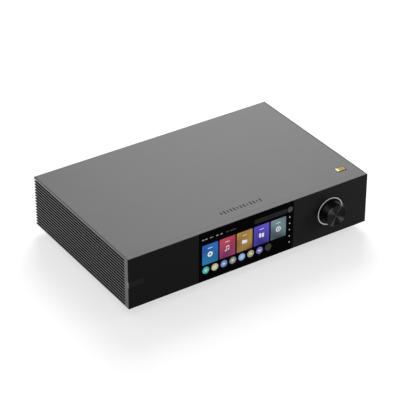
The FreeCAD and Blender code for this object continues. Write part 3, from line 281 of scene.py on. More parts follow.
def lit_display(name, low, high, glow=0.9, band=0.0, angle=0.0):
    """Part of a lit display: two tones from low to high, and soft slanted bands over them.

    The tone rises with height; the band is a wide sine wave turned by an angle."""
    made, tree, shader = new_material(name)
    where = add(tree, "ShaderNodeTexCoord").outputs["Object"]
    placed = add(tree, "ShaderNodeMapping", {"Rotation": (0, angle, 0)}, Vector=where).outputs[0]
    height = add(tree, "ShaderNodeSeparateXYZ", Vector=where).outputs["Z"]
    bottom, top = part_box("lcd_module")[0].z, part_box("lcd_module")[1].z
    rise = add(tree, "ShaderNodeMapRange",
               {"From Min": bottom + 20 * MM, "From Max": bottom + 0.8 * (top - bottom)},
               Value=height).outputs[0]
    wave = add(tree, "ShaderNodeTexWave",
               {"Scale": 1 / (95 * MM), "Distortion": 2.4, "Detail": 1.0, "Detail Scale": 0.6,
                "bands_direction": "X"}, Vector=placed).outputs["Fac"]
    base = add(tree, "ShaderNodeMix", {"data_type": "RGBA", 6: rgba(low), 7: rgba(high)},
               at0=rise)
    share = add(tree, "ShaderNodeMapRange", {"To Min": 0.0, "To Max": band}, Value=wave)
    node = add(tree, "ShaderNodeMix", {"data_type": "RGBA", "blend_type": "SCREEN",
                                       7: rgba(shade(high, 1.5))}, at0=share.outputs[0],
               at6=base.outputs[2])
    tree.links.new(node.outputs[2], shader.inputs["Emission Color"])
    shader.inputs["Emission Strength"].default_value = glow
    shader.inputs["Base Color"].default_value = (0, 0, 0, 1)
    shader.inputs["Roughness"].default_value = 0.2
    shader.inputs["Specular IOR Level"].default_value = 0.08
    return made


# ---------------------------------------------------------------- meshes

def outward(mesh, flat_angle=None):
    """Turns all faces of a closed mesh outwards; with an angle, joins flat neighbours first."""
    work = bmesh.new()
    work.from_mesh(mesh)
    if flat_angle is not None:
        bmesh.ops.dissolve_limit(work, angle_limit=flat_angle, verts=work.verts,
                                 edges=work.edges)
    bmesh.ops.recalc_face_normals(work, faces=work.faces)
    work.to_mesh(mesh)
    work.free()


def put(name, points, faces, material, body="root", sharp=30.0):
    """A closed mesh object from points and faces, shaded smooth up to an angle, with all its
    faces turned outwards."""
    mesh = bpy.data.meshes.new(name)
    mesh.from_pydata(np.asarray(points).reshape(-1, 3).tolist(), [], faces)
    mesh.validate()
    mesh.polygons.foreach_set("use_smooth", [True] * len(mesh.polygons))
    mesh.set_sharp_from_angle(angle=math.radians(sharp))
    made = bpy.data.objects.new(name, mesh)
    bpy.context.scene.collection.objects.link(made)
    mesh.materials.append(material)
    outward(mesh)
    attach(made, body)
    return made


def tube_faces(rings, count, start=0, close=False):
    """Quads between neighbouring rings of count points each, and the two end caps, or with
    close the quads from the last ring back to the first."""
    ring = np.arange(rings if close else rings - 1)[:, None] * count
    step = np.arange(count)[None, :]
    after = (step + 1) % count
    nextring = (ring + count) % (rings * count)
    quads = np.stack([ring + step, ring + after, nextring + after, nextring + step], axis=-1)
    faces = (quads.reshape(-1, 4) + start).tolist()
    if not close:
        faces.append((np.arange(count)[::-1] + start).tolist())
        faces.append((np.arange(count) + (rings - 1) * count + start).tolist())
    return faces


def lathe_points(profile, centre, axis, count, lobes=None):
    """Points of a turned shape: each (radius, place) of the profile is a circle about the
    axis through centre. lobes, a function of angle, scales the radii of the rings."""
    profile = np.asarray(profile, float)
    angle = np.arange(count) / count * TURN
    scale = np.ones((len(profile), count)) if lobes is None else lobes(profile, angle)
    radius = profile[:, :1] * scale
    place = np.repeat(profile[:, 1:2], count, axis=1)
    across, up = radius * np.cos(angle), radius * np.sin(angle)
    if axis == "y":
        points = np.stack([across, place, up], axis=-1)
    else:
        points = np.stack([across, -up, place], axis=-1)
    return points + np.asarray(centre, float)


def turned(name, profile, centres, axis, material, body="root", count=64, close=False,
           lobes=None):
    """One object of equal turned shapes, one at each centre. The profile runs so that
    its left side is outside; with close it is a loop round a bore."""
    points, faces = [], []
    for centre in centres:
        shape = lathe_points(profile, centre, axis, count, lobes)
        faces += tube_faces(len(profile), count, len(points) * shape[..., 0].size, close)
        points.append(shape.reshape(-1, 3))
    return put(name, np.concatenate(points), faces, material, body)


def arc(centre, radius, start, stop, steps=6):
    """Points of an arc in the profile plane; angles in degrees."""
    angle = np.radians(np.linspace(start, stop, steps))
    return [(centre[0] + radius * math.cos(a), centre[1] + radius * math.sin(a)) for a in angle]


def slab(name, outline, low, high, axis, material, body="root"):
    """A plate: a closed outline drawn in the plane square to an axis, between two places."""
    outline = np.asarray(outline, float)
    count = len(outline)
    layers = []
    for place in (low, high):
        fixed = np.full((count, 1), place)
        if axis == "y":
            layers.append(np.hstack([outline[:, :1], fixed, outline[:, 1:]]))
        else:
            layers.append(np.hstack([outline, fixed]))
    return put(name, np.concatenate(layers), tube_faces(2, count), material, body)


def joined(pieces):
    """Joins pieces into the first, which keeps its name."""
    with bpy.context.temp_override(active_object=pieces[0], selected_editable_objects=pieces):
        bpy.ops.object.join()
    return pieces[0]


def rounded(left, right, low, high, radius, steps=5):
    """Outline of a rectangle with round corners."""
    corners = [(right - radius, high - radius, 0), (left + radius, high - radius, 90),
               (left + radius, low + radius, 180), (right - radius, low + radius, 270)]
    return [p for x, z, a in corners for p in arc((x, z), radius, a, a + 90, steps)]


def circle(x, z, radius, steps=28):
    """Outline of a circle: points at equal angles about its middle."""
    return arc((x, z), radius, 0, 360 * (1 - 1 / steps), steps)


def welded(node, grid_mm):
    """A CAD node's vertices, where vertices at one place of a grid count as one: all places,
    the first vertex at each place, each vertex's place, and the triangles between places."""
    mesh = frame["nodes"][node].data
    places = np.empty(len(mesh.vertices) * 3)
    mesh.vertices.foreach_get("co", places)
    places = places.reshape(-1, 3)
    _, first, same = np.unique(np.round(places / (grid_mm * MM)).astype(int), axis=0,
                               return_index=True, return_inverse=True)
    same = same.reshape(-1)
    mesh.calc_loop_triangles()
    corners = np.empty(len(mesh.loop_triangles) * 3, int)
    mesh.loop_triangles.foreach_get("vertices", corners)
    return places, first, same, same[corners].reshape(-1, 3)


def solid_boxes(node):
    """Lowest and highest corners of each separate solid of a CAD node: labels spread from
    triangle to triangle until they settle."""
    places, _, same, triangles = welded(node, 0.01)
    label = np.arange(same.max() + 1)
    while True:
        lowest = label[triangles].min(axis=1)
        spread = label.copy()
        for corner in range(3):
            np.minimum.at(spread, triangles[:, corner], lowest)
        if (spread == label).all():
            break
        label = spread
    owner = label[same]
    return [(places[owner == k].min(axis=0), places[owner == k].max(axis=0))
            for k in np.unique(owner)]


def centre_of(box):
    """Middle of a box given by its two corners."""
    return (np.asarray(box[0]) + np.asarray(box[1])) / 2


def paint(node, material):
    """Gives a CAD node one finish."""
    slots = frame["nodes"][node].data.materials
    slots.clear()
    slots.append(material)


def swap(node):
    """The new piece stands for a CAD node, which is hidden."""
    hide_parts(node)


def merged_copy(node):
    """A CAD node's mesh with its loose triangles joined: equal places become one vertex and
    flat neighbours one face."""
    places, first, _, triangles = welded(node, 0.001)
    whole = ((triangles[:, 0] != triangles[:, 1]) & (triangles[:, 1] != triangles[:, 2])
             & (triangles[:, 2] != triangles[:, 0]))
    mesh = bpy.data.meshes.new(node)
    mesh.from_pydata(places[first].tolist(), [], triangles[whole].tolist())
    outward(mesh, math.radians(0.5))
    return mesh


def eased(node, name, width_mm):
    """A merged copy of a CAD node with its edges rounded to a real width; it stands for it."""
    mesh = merged_copy(node)
    mesh.polygons.foreach_set("use_smooth", [True] * len(mesh.polygons))
    made = bpy.data.objects.new(name, mesh)
    bpy.context.scene.collection.objects.link(made)
    mesh.materials.append(FINISH[SLOT_OF[node]])
    bevel = made.modifiers.new("eased edges", "BEVEL")
    bevel.width = width_mm * MM
    bevel.segments = 2
    bevel.limit_method = "ANGLE"
    bevel.angle_limit = math.radians(35)
    bevel.harden_normals = True
    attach(made, frame["nodes"][node]["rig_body"])
    swap(node)
    return made


def stand_in(node, name, profile, centres, axis, body="root", **how):
    """Turned pieces that stand for a CAD node, in the finish of its slot."""
    made = turned(name, profile, centres, axis, FINISH[SLOT_OF[node]], body, **how)
    swap(node)


SLOT_OF = {part["node"]: part["material_slot"] for part in frame["record"]["subparts"]}
FINISH = {}


# ---------------------------------------------------------------- what a user would change

def number_property(label, text, value, low=0.0, **kind):
    """A number that is at least low."""
    return FloatProperty(name=label, description=text, default=value, min=low, **kind)


def size_property(label, text, value_mm):
    """A length, given in mm."""
    return number_property(label, text, value_mm * MM, unit="LENGTH", precision=5)


def angle_property(label, text, degrees):
    """An angle, given in degrees."""
    return FloatProperty(name=label, description=text, default=math.radians(degrees),
                         subtype="ANGLE")


def colour_property(label, text, code):
    """A colour, given as an sRGB hex code."""
    return FloatVectorProperty(name=label, description=text, default=linear(code), size=3,
                               subtype="COLOR", min=0.0, max=1.0)


class DacSizes(PropertyGroup):
    """Sizes of the pieces that the frame leaves open."""
    fin_round: size_property("Fin rounding", "Radius on the tips of the side fins", 0.25)
    groove_width: size_property("Groove width", "Gap between two side fins", 3.15)
    groove_depth: size_property("Groove depth", "Depth of the gaps between fins", 7.0)
    groove_count: IntProperty(name="Grooves", description="Number of gaps on each side",
                              default=16, min=1)
    knob_round: size_property("Knob edge", "Bevel round the knob's front face", 0.6)
    tile_width: size_property("Tile width", "Width of an application tile", 25.2)
    tile_pitch: size_property("Tile pitch", "Distance from tile to tile", 27.68)
    icon_radius: size_property("Icon radius", "Radius of a round icon in the dock", 5.4)
    icon_pitch: size_property("Icon pitch", "Distance from round icon to round icon", 14.5)


class DacColours(PropertyGroup):
    """Colours of the finishes."""
    case: colour_property("Case", "Anodised aluminium of the case", "#686868")
    fascia: colour_property("Fascia", "Black anodised front plates", "#0d0d0e")
    knob: colour_property("Knob", "Black anodised knob", "#151515")
    glass: colour_property("Glass", "Black-backed screen glass", "#030304")
    gilt: colour_property("Gilt", "Gold plating of badge and sockets", "#d6a545")
    lamp: colour_property("Ring lamp", "Light ring round the knob", "#f4f6f8")


class DacStage(PropertyGroup):
    """Floor, lamps and camera."""
    floor: colour_property("Floor", "Surface of the light table", "#8c8c8c")
    table: number_property("Table glow", "Strength of the light table", 0.64)
    sky: number_property("Room light", "Strength of the light from above", 1.0)
    front: number_property("Front share", "Share of the room light in front", 0.42,
                           subtype="FACTOR", max=1.0)
    key: number_property("Key lamp", "Large lamp above and behind", 78.0, subtype="POWER")
    back: number_property("Back lamp", "Low lamp behind", 9.0, subtype="POWER")
    side: number_property("Side lamp", "Small lamp for the knob and right front plate", 26.0,
                          subtype="POWER")
    knob: number_property("Knob lamp", "Soft lamp for the knob alone", 130.0, subtype="POWER")
    lens: number_property("Lens", "Focal length of the camera", 163.76, 1.0, unit="CAMERA")
    azimuth: angle_property("Azimuth", "Turn of the camera round the case", -33.40)
    elevation: angle_property("Elevation", "Height of the camera as an angle", 32.07)
    distance: number_property("Distance", "From the camera to the case's middle", 2.5304, 0.1,
                              unit="LENGTH")


# ---------------------------------------------------------------- finishes of the CAD nodes

def make_finishes(colours):
    """One finish for each material slot of the record."""
    return {
        "satin_grey": blasted_anodised_aluminium(colours.case),
        # The fins carry painted shade in their grooves and a painted highlight on their tips.
        "fins": finned_aluminium(colours.case, outer=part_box("side_panel_right")[1].x,
                                 depth=0.3 * MM),
        "fascia_black": black_anodised_plate(colours.fascia),
        "touch_glass": coated_screen_glass(colours.glass),
        "smoked_window": smoked_polycarbonate(linear("#151515"), end=linear("#767676"),
                                              edge=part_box("infrared_window")[0].x),
        "light_guide": frosted_light_guide(colours.lamp, glow=0.27),
        "knob_black": turned_black_aluminium(colours.knob),
        "gilt": plated("gold plating", colours.gilt, 0.26),
        "zinc_steel": plated("zinc-plated steel", linear("#b4b8bb"), 0.4),
        "black_screw": plated("black oxide steel", linear("#26262a"), 0.42),
        "nickel": plated("nickel plating", linear("#bdb9b0"), 0.25),
        "rubber": foot_rubber(linear("#161616")),
        "foot_grey": foot_aluminium(linear("#77777a")),
        "rear_black": powder_coat(linear("#1b1b1c")),
        "black_plastic": moulded_abs("moulded ABS, black", linear("#19191a")),
        "white_plastic": moulded_abs("moulded ABS, white", linear("#dedcd4"), 0.4),
        "board_green": circuit_laminate(linear("#1c4a30")),
        "screen_module": plated("tin-plated screen frame", linear("#9a9ca0"), 0.35),
        "tape_yellow": winding_tape(linear("#c9a544")),
        "heatsink_black": black_anodised_plate(linear("#202022")),
        "capacitor_sleeve": moulded_abs("shrink sleeve, blue-black", linear("#1d2433"), 0.3),
        "fuse_glass": fuse_tube(linear("#cfd6d6")),
    }


class DAC_OT_finishes(Operator):
    """Makes the finishes and gives every CAD node the one of its slot"""
    bl_idname = "dac.finishes"
    bl_label = "Finishes"

    def execute(self, context):
        FINISH.update(make_finishes(context.scene.dac_colours))
        for node, slot_name in SLOT_OF.items():
            paint(node, FINISH[slot_name])
        return {"FINISHED"}


# ---------------------------------------------------------------- case

def comb_outline(outer, sizes, span, inner):
    """Outline of a finned side panel, seen along Y: the grooves' mouths have round edges."""
    low, high = span
    reach, radius, half = sizes.groove_depth, sizes.fin_round, sizes.groove_width / 2
    first, last = low + 3.4 * MM, high - 5.2 * MM
    ledge, drop = 0.7 * MM, 2 * MM
    points = [(outer, low)]
    for middle in np.linspace(first, last, sizes.groove_count):
        points += arc((outer - radius, middle - half - radius), radius, 0, 90, 4)
        points += [(outer - reach, middle - half), (outer - reach, middle + half)]
        points += arc((outer - radius, middle + half + radius), radius, -90, 0, 4)
    points += [(outer, high), (outer - ledge, high), (outer - ledge, high - drop)]
    return points + inner


def side_fins(sign, node, sizes):
    """Side panel: the comb outline carried along Y; its back end is stepped for the plates."""
    low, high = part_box(node)
    outer = max(abs(low.x), abs(high.x))
    inside = min(abs(low.x), abs(high.x))
    step = outer - 7.5 * MM
    span = (low.z, high.z)
    plate = 2 * MM
    full = [(inside, high.z - plate), (inside, low.z + plate), (step, low.z + plate),
            (step, low.z)]
    narrow = [(step, high.z - plate), (step, low.z + 2 * plate), (step, low.z + plate),
              (step, low.z)]
    stations = [(low.y, full), (high.y - plate, full), (high.y - plate, narrow),
                (high.y, narrow)]
    layers = []
    for place, inner in stations:
        outline = np.asarray(comb_outline(outer, sizes, span, inner))
        fixed = np.full(len(outline), place)
        layers.append(np.stack([sign * outline[:, 0], fixed, outline[:, 1]], axis=1))
    made = put(f"{node}_fins", np.concatenate(layers), tube_faces(len(layers), len(layers[0])),
               FINISH["fins"])
    swap(node)


class DAC_OT_case(Operator):
    """Makes the finned sides, the cover, the front frame and the plates"""
    bl_idname = "dac.case"
    bl_label = "Case"

    def execute(self, context):
        sizes = context.scene.dac_sizes
        side_fins(-1, "side_panel_left", sizes)
        side_fins(1, "side_panel_right", sizes)
        for node, kind in (("top_cover", "plate"), ("front_frame", "casting"),
                           ("rear_panel", "plate"), ("bottom_plate", "sheet"),
                           ("drive_hatch", "plate")):
            eased(node, f"{node}_{kind}", 0.15)
        return {"FINISHED"}


def screw_profile(head_radius, head_height, shank_radius, length, socket):
    """Half section of a pan-head screw: socket floor, socket wall, domed head, shank."""
    depth = 0.6 * head_height
    dome = [(head_radius * math.sin(a), head_height * (0.55 + 0.45 * math.cos(a)))
            for a in np.linspace(0.55, math.pi / 2, 5)]
    return ([(NEAR_AXIS / 2, head_height - depth), (socket, head_height - depth),
             (socket, head_height * 0.94)] + dome
            + [(head_radius, 0.0), (shank_radius, 0.0), (shank_radius, -length),
               (NEAR_AXIS / 2, -length)])


def hexagon(rows):
    """Scale of the given profile rows that turns a circle into a hexagon: the flats are
    nearer than the corners by the cosine of the angle from the nearest flat."""
    def lobes(profile, angle):
        scale = np.ones((len(profile), len(angle)))
        turned_by = (angle % (TURN / 6)) - TURN / 12
        for row in rows:
            scale[row] = math.cos(TURN / 12) / np.cos(turned_by)
        return scale
    return lobes


class DAC_OT_screws(Operator):
    """Makes the socket-head screws of the case where the frame has them"""
    bl_idname = "dac.screws"
    bl_label = "Screws"

    def execute(self, context):
        below, behind = [], []
        head = 1.6 * MM
        for low, high in solid_boxes("case_screws"):
            middle = (low + high) / 2
            upright = (high - low)[2] > (high - low)[1]
            if upright:
                below.append((middle[0], middle[1], low[2] + head, high[2] - low[2] - head))
            else:
                behind.append((middle[0], high[1] - head, middle[2], high[1] - low[1] - head))
        for length in sorted({round(spot[3], 5) for spot in below}):
            profile = screw_profile(2.9 * MM, head, 1.5 * MM, length, 1.25 * MM)
            profile = [(r, -place) for r, place in profile]
            centres = [spot[:3] for spot in below if round(spot[3], 5) == length]
            made = turned(f"bottom_screws_{round(length / MM)}", profile, centres, "z",
                          FINISH["black_screw"], count=24, lobes=hexagon((0, 1, 2)))
        profile = screw_profile(2.9 * MM, head, 1.5 * MM, behind[0][3], 1.25 * MM)
        stand_in("case_screws", "rear_screws", profile, [spot[:3] for spot in behind], "y",
                 count=24, lobes=hexagon((0, 1, 2)))
        return {"FINISHED"}


class DAC_OT_feet(Operator):
    """Makes the turned feet and their rubber rings"""
    bl_idname = "dac.feet"
    bl_label = "Feet"

    def execute(self, context):
        boxes = solid_boxes("feet")
        low, high = boxes[0]
        radius = (high[0] - low[0]) / 2
        bottom, top = low[2], high[2]
        spots = [(*centre_of(b)[:2], 0.0) for b in boxes]
        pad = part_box("foot_pads")[1].z
        hollow = radius - 4.1 * MM
        outside = ([(radius - 0.8 * MM, top)] + arc((radius - 0.6 * MM, top - 0.6 * MM),
                                                    0.6 * MM, 90, 0, 5))
        waist = (bottom + top) / 2 + 1.5 * MM
        outside += [(radius, waist + 0.5 * MM), (radius - 0.5 * MM, waist + 0.3 * MM),
                    (radius - 0.5 * MM, waist - 0.3 * MM), (radius, waist - 0.5 * MM)]
        outside += arc((radius - 1.2 * MM, bottom + 1.2 * MM), 1.2 * MM, 0, -90, 6)
        inside = [(hollow, bottom), (hollow, pad), (1.65 * MM, pad), (1.65 * MM, top)]
        stand_in("feet", "turned_feet", outside + inside, spots, "z", count=96, close=True)
        rim = (solid_boxes("foot_pads")[0][1] - solid_boxes("foot_pads")[0][0])[0] / 2
        ring = (arc((rim - 0.8 * MM, 0.8 * MM), 0.8 * MM, -90, 0, 5) + [(rim, pad)]
                + [(6 * MM, pad), (6 * MM, 0.4 * MM), (6.4 * MM, 0.0)])
        for share in (0.35, 0.55, 0.75):
            middle = 6.4 * MM + share * (rim - 7.2 * MM)
            ring += [(middle - 0.5 * MM, 0.0), (middle - 0.3 * MM, 0.4 * MM),
                     (middle + 0.3 * MM, 0.4 * MM), (middle + 0.5 * MM, 0.0)]
        stand_in("foot_pads", "rubber_pads", ring, spots, "z", count=72, close=True)
        return {"FINISHED"}


class DAC_OT_badge(Operator):
    """Makes the gilt badge with its raised rim, a painted highlight along its left edge and painted
    shade along its front, and the cover's level bars and seam
    """
    bl_idname = "dac.badge"
    bl_label = "Badge and cover mark"

    def execute(self, context):
        low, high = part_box("gold_badge")
        gilt = plated("gilt badge", linear("#9c8636"), 0.22)
        # A pale gold for a painted highlight along the badge's left edge.
        bright = plated("painted highlight on the badge's left edge", linear("#d6cfa6"), 0.15)
        rim = 0.25 * MM
        base = slab("badge_plate", rounded(low.x, high.x, low.y, high.y, 0.6 * MM), low.z,
                    high.z - rim, "z", gilt)
        inset, tallest = 0.9 * MM, 2.8 * MM
        pieces = [base]
        heights = (0.45, 0.75, 1.0)
        # Dark bronze for the bars and the rim; on the front strip it is painted shade.
        bronze_and_painted_shade = plated("dark bronze", linear("#3c2608"), 0.35)
        width = (high.x - low.x - 2 * inset) / (2 * len(heights) + 1)
        for index, share in enumerate(heights):
            left = low.x + inset + (2 * index + 1) * width
            reach = share * tallest
            middle = (low.y + high.y) / 2 + 0.7 * MM
            outline = rounded(left, left + width, middle - reach, middle + reach, width * 0.4, 4)
            pieces.append(slab("bar", outline, high.z - 2 * rim, high.z - rim / 2, "z", bronze_and_painted_shade))
        # Painted shade: a dark strip along the badge's front edge; painted highlight: a pale strip
        # along its left edge.
        lip = low.y + 2.2 * MM
        for left, right, start, stop, finish in (
                (low.x + inset / 2, high.x - inset / 2, low.y + inset / 2, lip, bronze_and_painted_shade),
                (low.x + inset / 2, low.x + 2.4 * MM, lip, high.y - inset / 2, bright)):
            pieces.append(slab("edge", rounded(left, right, start, stop, 0.2 * MM, 2),
                               high.z - 2 * rim, high.z - rim / 2, "z", finish))
        frame_outline = rounded(low.x, high.x, low.y, high.y, 0.6 * MM)
        inner = rounded(low.x + inset / 2, high.x - inset / 2, low.y + inset / 2,
                        high.y - inset / 2, 0.5 * MM)
        loop = np.asarray([[(x, y, z) for x, y in line]
                           for line, z in ((frame_outline, high.z - 2 * rim),
                                           (frame_outline, high.z), (inner, high.z),
                                           (inner, high.z - 2 * rim))])
        pieces.append(put("rim", loop, tube_faces(4, len(inner), 0, True), bronze_and_painted_shade))
        made = joined(pieces)
        swap("gold_badge")
        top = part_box("top_cover")[1].z
        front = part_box("top_cover")[0].y
        dark = black_anodised_plate(linear("#161617"))
        shares = np.abs(np.sin(np.arange(13) * 1.1 + 0.6)) * 0.65 + 0.35
        bars = []
        start, pitch, width, tallest = -32.5 * MM, 5.3 * MM, 1.9 * MM, 4.2 * MM
        middle = front + 26.0 * MM
        for index, share in enumerate(shares):
            left, reach = start + index * pitch, share * tallest
            outline = rounded(left, left + width, middle - reach, middle + reach, 0.7 * MM, 3)
            bars.append(slab("cover_level_bars", outline, top - 0.02 * MM, top + 0.03 * MM, "z",
                             dark))
        joined(bars)
        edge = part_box("top_cover")
        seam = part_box("front_frame")[1].y
        slab("cover_seam", rounded(edge[0].x, edge[1].x, seam, seam + 0.2 * MM, 0.05 * MM, 2),
             top - 0.02 * MM, top + 0.01 * MM, "z", dark)
        return {"FINISHED"}


# ---------------------------------------------------------------- front

class DAC_OT_front(Operator):
    """Makes the front plates, the touch glass and the infrared window"""
    bl_idname = "dac.front"
    bl_label = "Front plates and glass"

    def execute(self, context):
        for node, name, width_mm in (("fascia_left", "fascia_plate_left", 0.1),
                                     ("fascia_right", "fascia_plate_right", 0.1),
                                     ("touch_glass", "touch_glass_pane", 0.1),
                                     ("infrared_window", "infrared_lens", 0.3)):
            eased(node, name, width_mm)
        return {"FINISHED"}


LAYER = 0.04 * MM


class Sheet:
    """The lit layer of the screen: flat shapes laid on the glass, each a thin plate."""

    def __init__(self):
        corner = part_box("touch_glass")[0]
        self.left, self.bottom, self.front = corner.x, corner.z, corner.y

    def lay(self, name, outline, material, level=1):
        """A flat shape; its outline is measured from the glass's lower left corner."""
        outline = np.asarray(outline) + np.array([self.left, self.bottom])
        return slab(name, outline, self.front - level * LAYER,
                    self.front - (level - 1) * LAYER + LAYER / 4, "y", material)


def disc_icon(x, z, radius):
    """A record: a disc and its hole."""
    return [(circle(x, z, radius), 0), (circle(x, z, radius * 0.4, 16), 1)]


def note_icon(x, z, radius):
    """Two joined quavers: heads, stems and a slanted beam."""
    stem = radius * 0.16
    shapes = []
    for side in (-1, 1):
        foot = (x + side * radius * 0.5, z - radius * (0.75 - 0.12 * side))
        shapes.append((circle(foot[0] - radius * 0.16, foot[1], radius * 0.3, 16), 0))
        shapes.append((rounded(foot[0], foot[0] + stem, foot[1], z + radius * (0.7 + 0.15 * side),
                               stem / 3, 2), 0))
    left, right = x - radius * 0.5, x + radius * 0.5 + stem
    shapes.append(([(left, z + radius * 0.35), (right, z + radius * 0.62),
                    (right, z + radius * 0.98), (left, z + radius * 0.7)], 0))
    return shapes


def folder_icon(x, z, radius):
    """A folder: its body and its tab."""
    body = rounded(x - radius, x + radius, z - radius * 0.7, z + radius * 0.45, radius * 0.15, 3)
    tab = rounded(x - radius, x - radius * 0.15, z, z + radius * 0.7, radius * 0.15, 3)
    return [(body, 0), (tab, 0)]


def pages_icon(x, z, radius):
    """Two upright sheets side by side, each with a round corner."""
    return [(rounded(x + side * radius * 0.55 - radius * 0.42, x + side * radius * 0.55
                     + radius * 0.42, z - radius * (0.8 + 0.1 * side), z + radius
                     * (0.8 - 0.1 * side), radius * 0.18, 3), 0) for side in (-1, 1)]


def target_icon(x, z, radius):
    """A disc with a ring and a middle."""
    return [(circle(x, z, radius), 0), (circle(x, z, radius * 0.62), 1),
            (circle(x, z, radius * 0.3, 16), 2)]


TILES = (
    ("sea", "#1c6d94", "#2352a8", 0.30, 0.9, disc_icon),
    ("rose", "#6a2c5c", "#b23a4a", 0.25, -0.6, note_icon),
    ("ochre", "#5c4226", "#a9833f", 0.35, 2.2, folder_icon),
    ("violet", "#2f2778", "#5549bc", 0.20, 0.3, pages_icon),
    ("slate", "#36454c", "#647880", 0.40, 0.8, target_icon),
)
DOCK = ("#3fa49a", "#bdb692", "#5f78b4", "#858684", "#7c9fd0", "#a8a078", "#6c66b4", "#2c2d24")


class DAC_OT_screen(Operator):
    """Makes the lit picture of the screen: five tiles, a dock of round icons and dots"""
    bl_idname = "dac.screen"
    bl_label = "Screen picture"

    def execute(self, context):
        sizes = context.scene.dac_sizes
        sheet = Sheet()
        white = lit_display("lit display, white", linear("#d8dade"), linear("#f4f6f8"))
        dim = lit_display("lit display, dim", linear("#1f1f1e"), linear("#252524"), 0.35)
        ink = lit_display("lit display, grey", linear("#3e3f41"), linear("#4a4b4d"), 0.7)
        soft = lit_display("lit display, soft", linear("#8f8a84"), linear("#a8a49e"), 0.8)
        marks = []
        low, high, dock, dots = 26 * MM, 57 * MM, 17.1 * MM, 147.3 * MM
        for index, (name, first, second, band, angle, icon) in enumerate(TILES):
            left = 5.1 * MM + index * sizes.tile_pitch
            right = left + sizes.tile_width
            middle = (left + right) / 2
            picture = lit_display(f"lit display, {name}", linear(first), linear(second),
                                  band=band, angle=angle)
            made = sheet.lay(f"tile_{name}", rounded(left, right, low, high, 1.1 * MM), picture)
            for outline, level in icon(middle, (low + high) / 2 - 1 * MM, 4.1 * MM):
                marks.append(sheet.lay("mark", outline, picture if level % 2 else white,
                                       2 + level))
            caption = rounded(middle - 3.6 * MM, middle + 3.6 * MM, high - 7.0 * MM,
                              high - 6.2 * MM, 0.4 * MM, 3)
            marks.append(sheet.lay("caption", caption, white, 2))
        for index, code in enumerate(DOCK):
            middle = 10.8 * MM + index * sizes.icon_pitch
            colour = lit_display(f"lit display, dock {index + 1}", linear(code),
                                 shade(linear(code), 1.2), band=0.2, angle=index)
            made = sheet.lay(f"dock_icon_{index + 1}", circle(middle, dock, sizes.icon_radius),
                             colour)
            shape = (target_icon, pages_icon, folder_icon, disc_icon)[index % 4]
            tone = ink if index == len(DOCK) - 1 else white
            for outline, level in shape(middle, dock, 2.1 * MM):
                marks.append(sheet.lay("mark", outline, colour if level % 2 else tone,
                                       2 + level))
            label = rounded(middle - 2.4 * MM, middle + 2.4 * MM, 9.1 * MM, 9.7 * MM, 0.25 * MM, 2)
            marks.append(sheet.lay("label", label, dim, 1))
        for index in range(5):
            height = (12.6 + 10.08 * index) * MM
            marks.append(sheet.lay("dot", circle(dots, height, 0.85 * MM, 12), white))
        marks.append(sheet.lay("disc", circle(147.5 * MM, 65 * MM, 4.35 * MM), ink))
        marks.append(sheet.lay("pill", rounded(88.8 * MM, 142.8 * MM, 61.5 * MM, 68.5 * MM,
                                               3.4 * MM), dim))
        for start, stop in ((4.8, 8.2), (9.6, 13.4), (17.5, 20.1), (21.5, 22.6), (27, 31),
                            (34, 37.5), (43, 47), (49, 58.8)):
            marks.append(sheet.lay("status", rounded(start * MM, stop * MM, 65.4 * MM, 66.8 * MM,
                                                     0.5 * MM, 3), ink if start > 40 else soft))
        made = joined(marks)
        made.name = "screen_marks"
        return {"FINISHED"}


# ---------------------------------------------------------------- volume knob

class DAC_OT_knob(Operator):
    """Makes the volume knob, the light ring and the black plinth inside it"""
    bl_idname = "dac.knob"
    bl_label = "Volume knob"

    def execute(self, context):
        low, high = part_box("volume_knob")
        axis = ((low.x + high.x) / 2, 0.0, (low.z + high.z) / 2)
        radius, edge = (high.x - low.x) / 2, context.scene.dac_sizes.knob_round
        front, back = low.y, high.y
        rim, dish = radius - edge - 0.3 * MM, 1.3 * MM
        profile = [(r, front + dish * (1 - (r / rim) ** 2))
                   for r in np.append(NEAR_AXIS, np.linspace(0.08, 1, 14) * rim)]
        profile += [(radius - edge, front)]
        profile += [(radius - 0.05 * MM, front + edge - 0.05 * MM), (radius, front + edge)]
        groove = front + 4.5 * MM
        profile += [(radius, groove), (radius - 0.3 * MM, groove + 0.1 * MM),
                    (radius - 0.3 * MM, groove + 0.3 * MM), (radius, groove + 0.4 * MM)]
        skirt, boss, bore = 14 * MM, 6.5 * MM, 3.02 * MM
        hollow, bore_end = back - 6 * MM, front + 3 * MM
        profile += [(radius, back - 0.3 * MM), (radius - 0.3 * MM, back), (14.2 * MM, back),
                    (skirt, back - 0.2 * MM), (skirt, hollow), (boss, hollow), (boss, back),
                    (bore, back), (bore, bore_end), (NEAR_AXIS, bore_end)]
        stand_in("volume_knob", "volume_knob_turned", profile, [axis], "y", "knob", count=160)
        self.ring("light_ring", "light_ring_guide", axis, 0.25 * MM)
        self.ring("knob_surround", "knob_plinth", axis, 0.2 * MM)
        return {"FINISHED"}

    def ring(self, node, name, axis, edge):
        """A ring about the knob's axis: a rectangle with eased front edges, turned."""
        low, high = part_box(node)
        outer = (high.x - low.x) / 2
        places = np.abs([v.co.x - axis[0] + 1j * (v.co.z - axis[2])
                         for v in frame["nodes"][node].data.vertices])
        inner = places.min()
        section = [(inner, high.y), (inner, low.y + edge), (inner + edge, low.y),
                   (outer - edge, low.y), (outer, low.y + edge), (outer, high.y)]
        stand_in(node, name, section, [axis], "y", count=128, close=True)


# ---------------------------------------------------------------- rear sockets

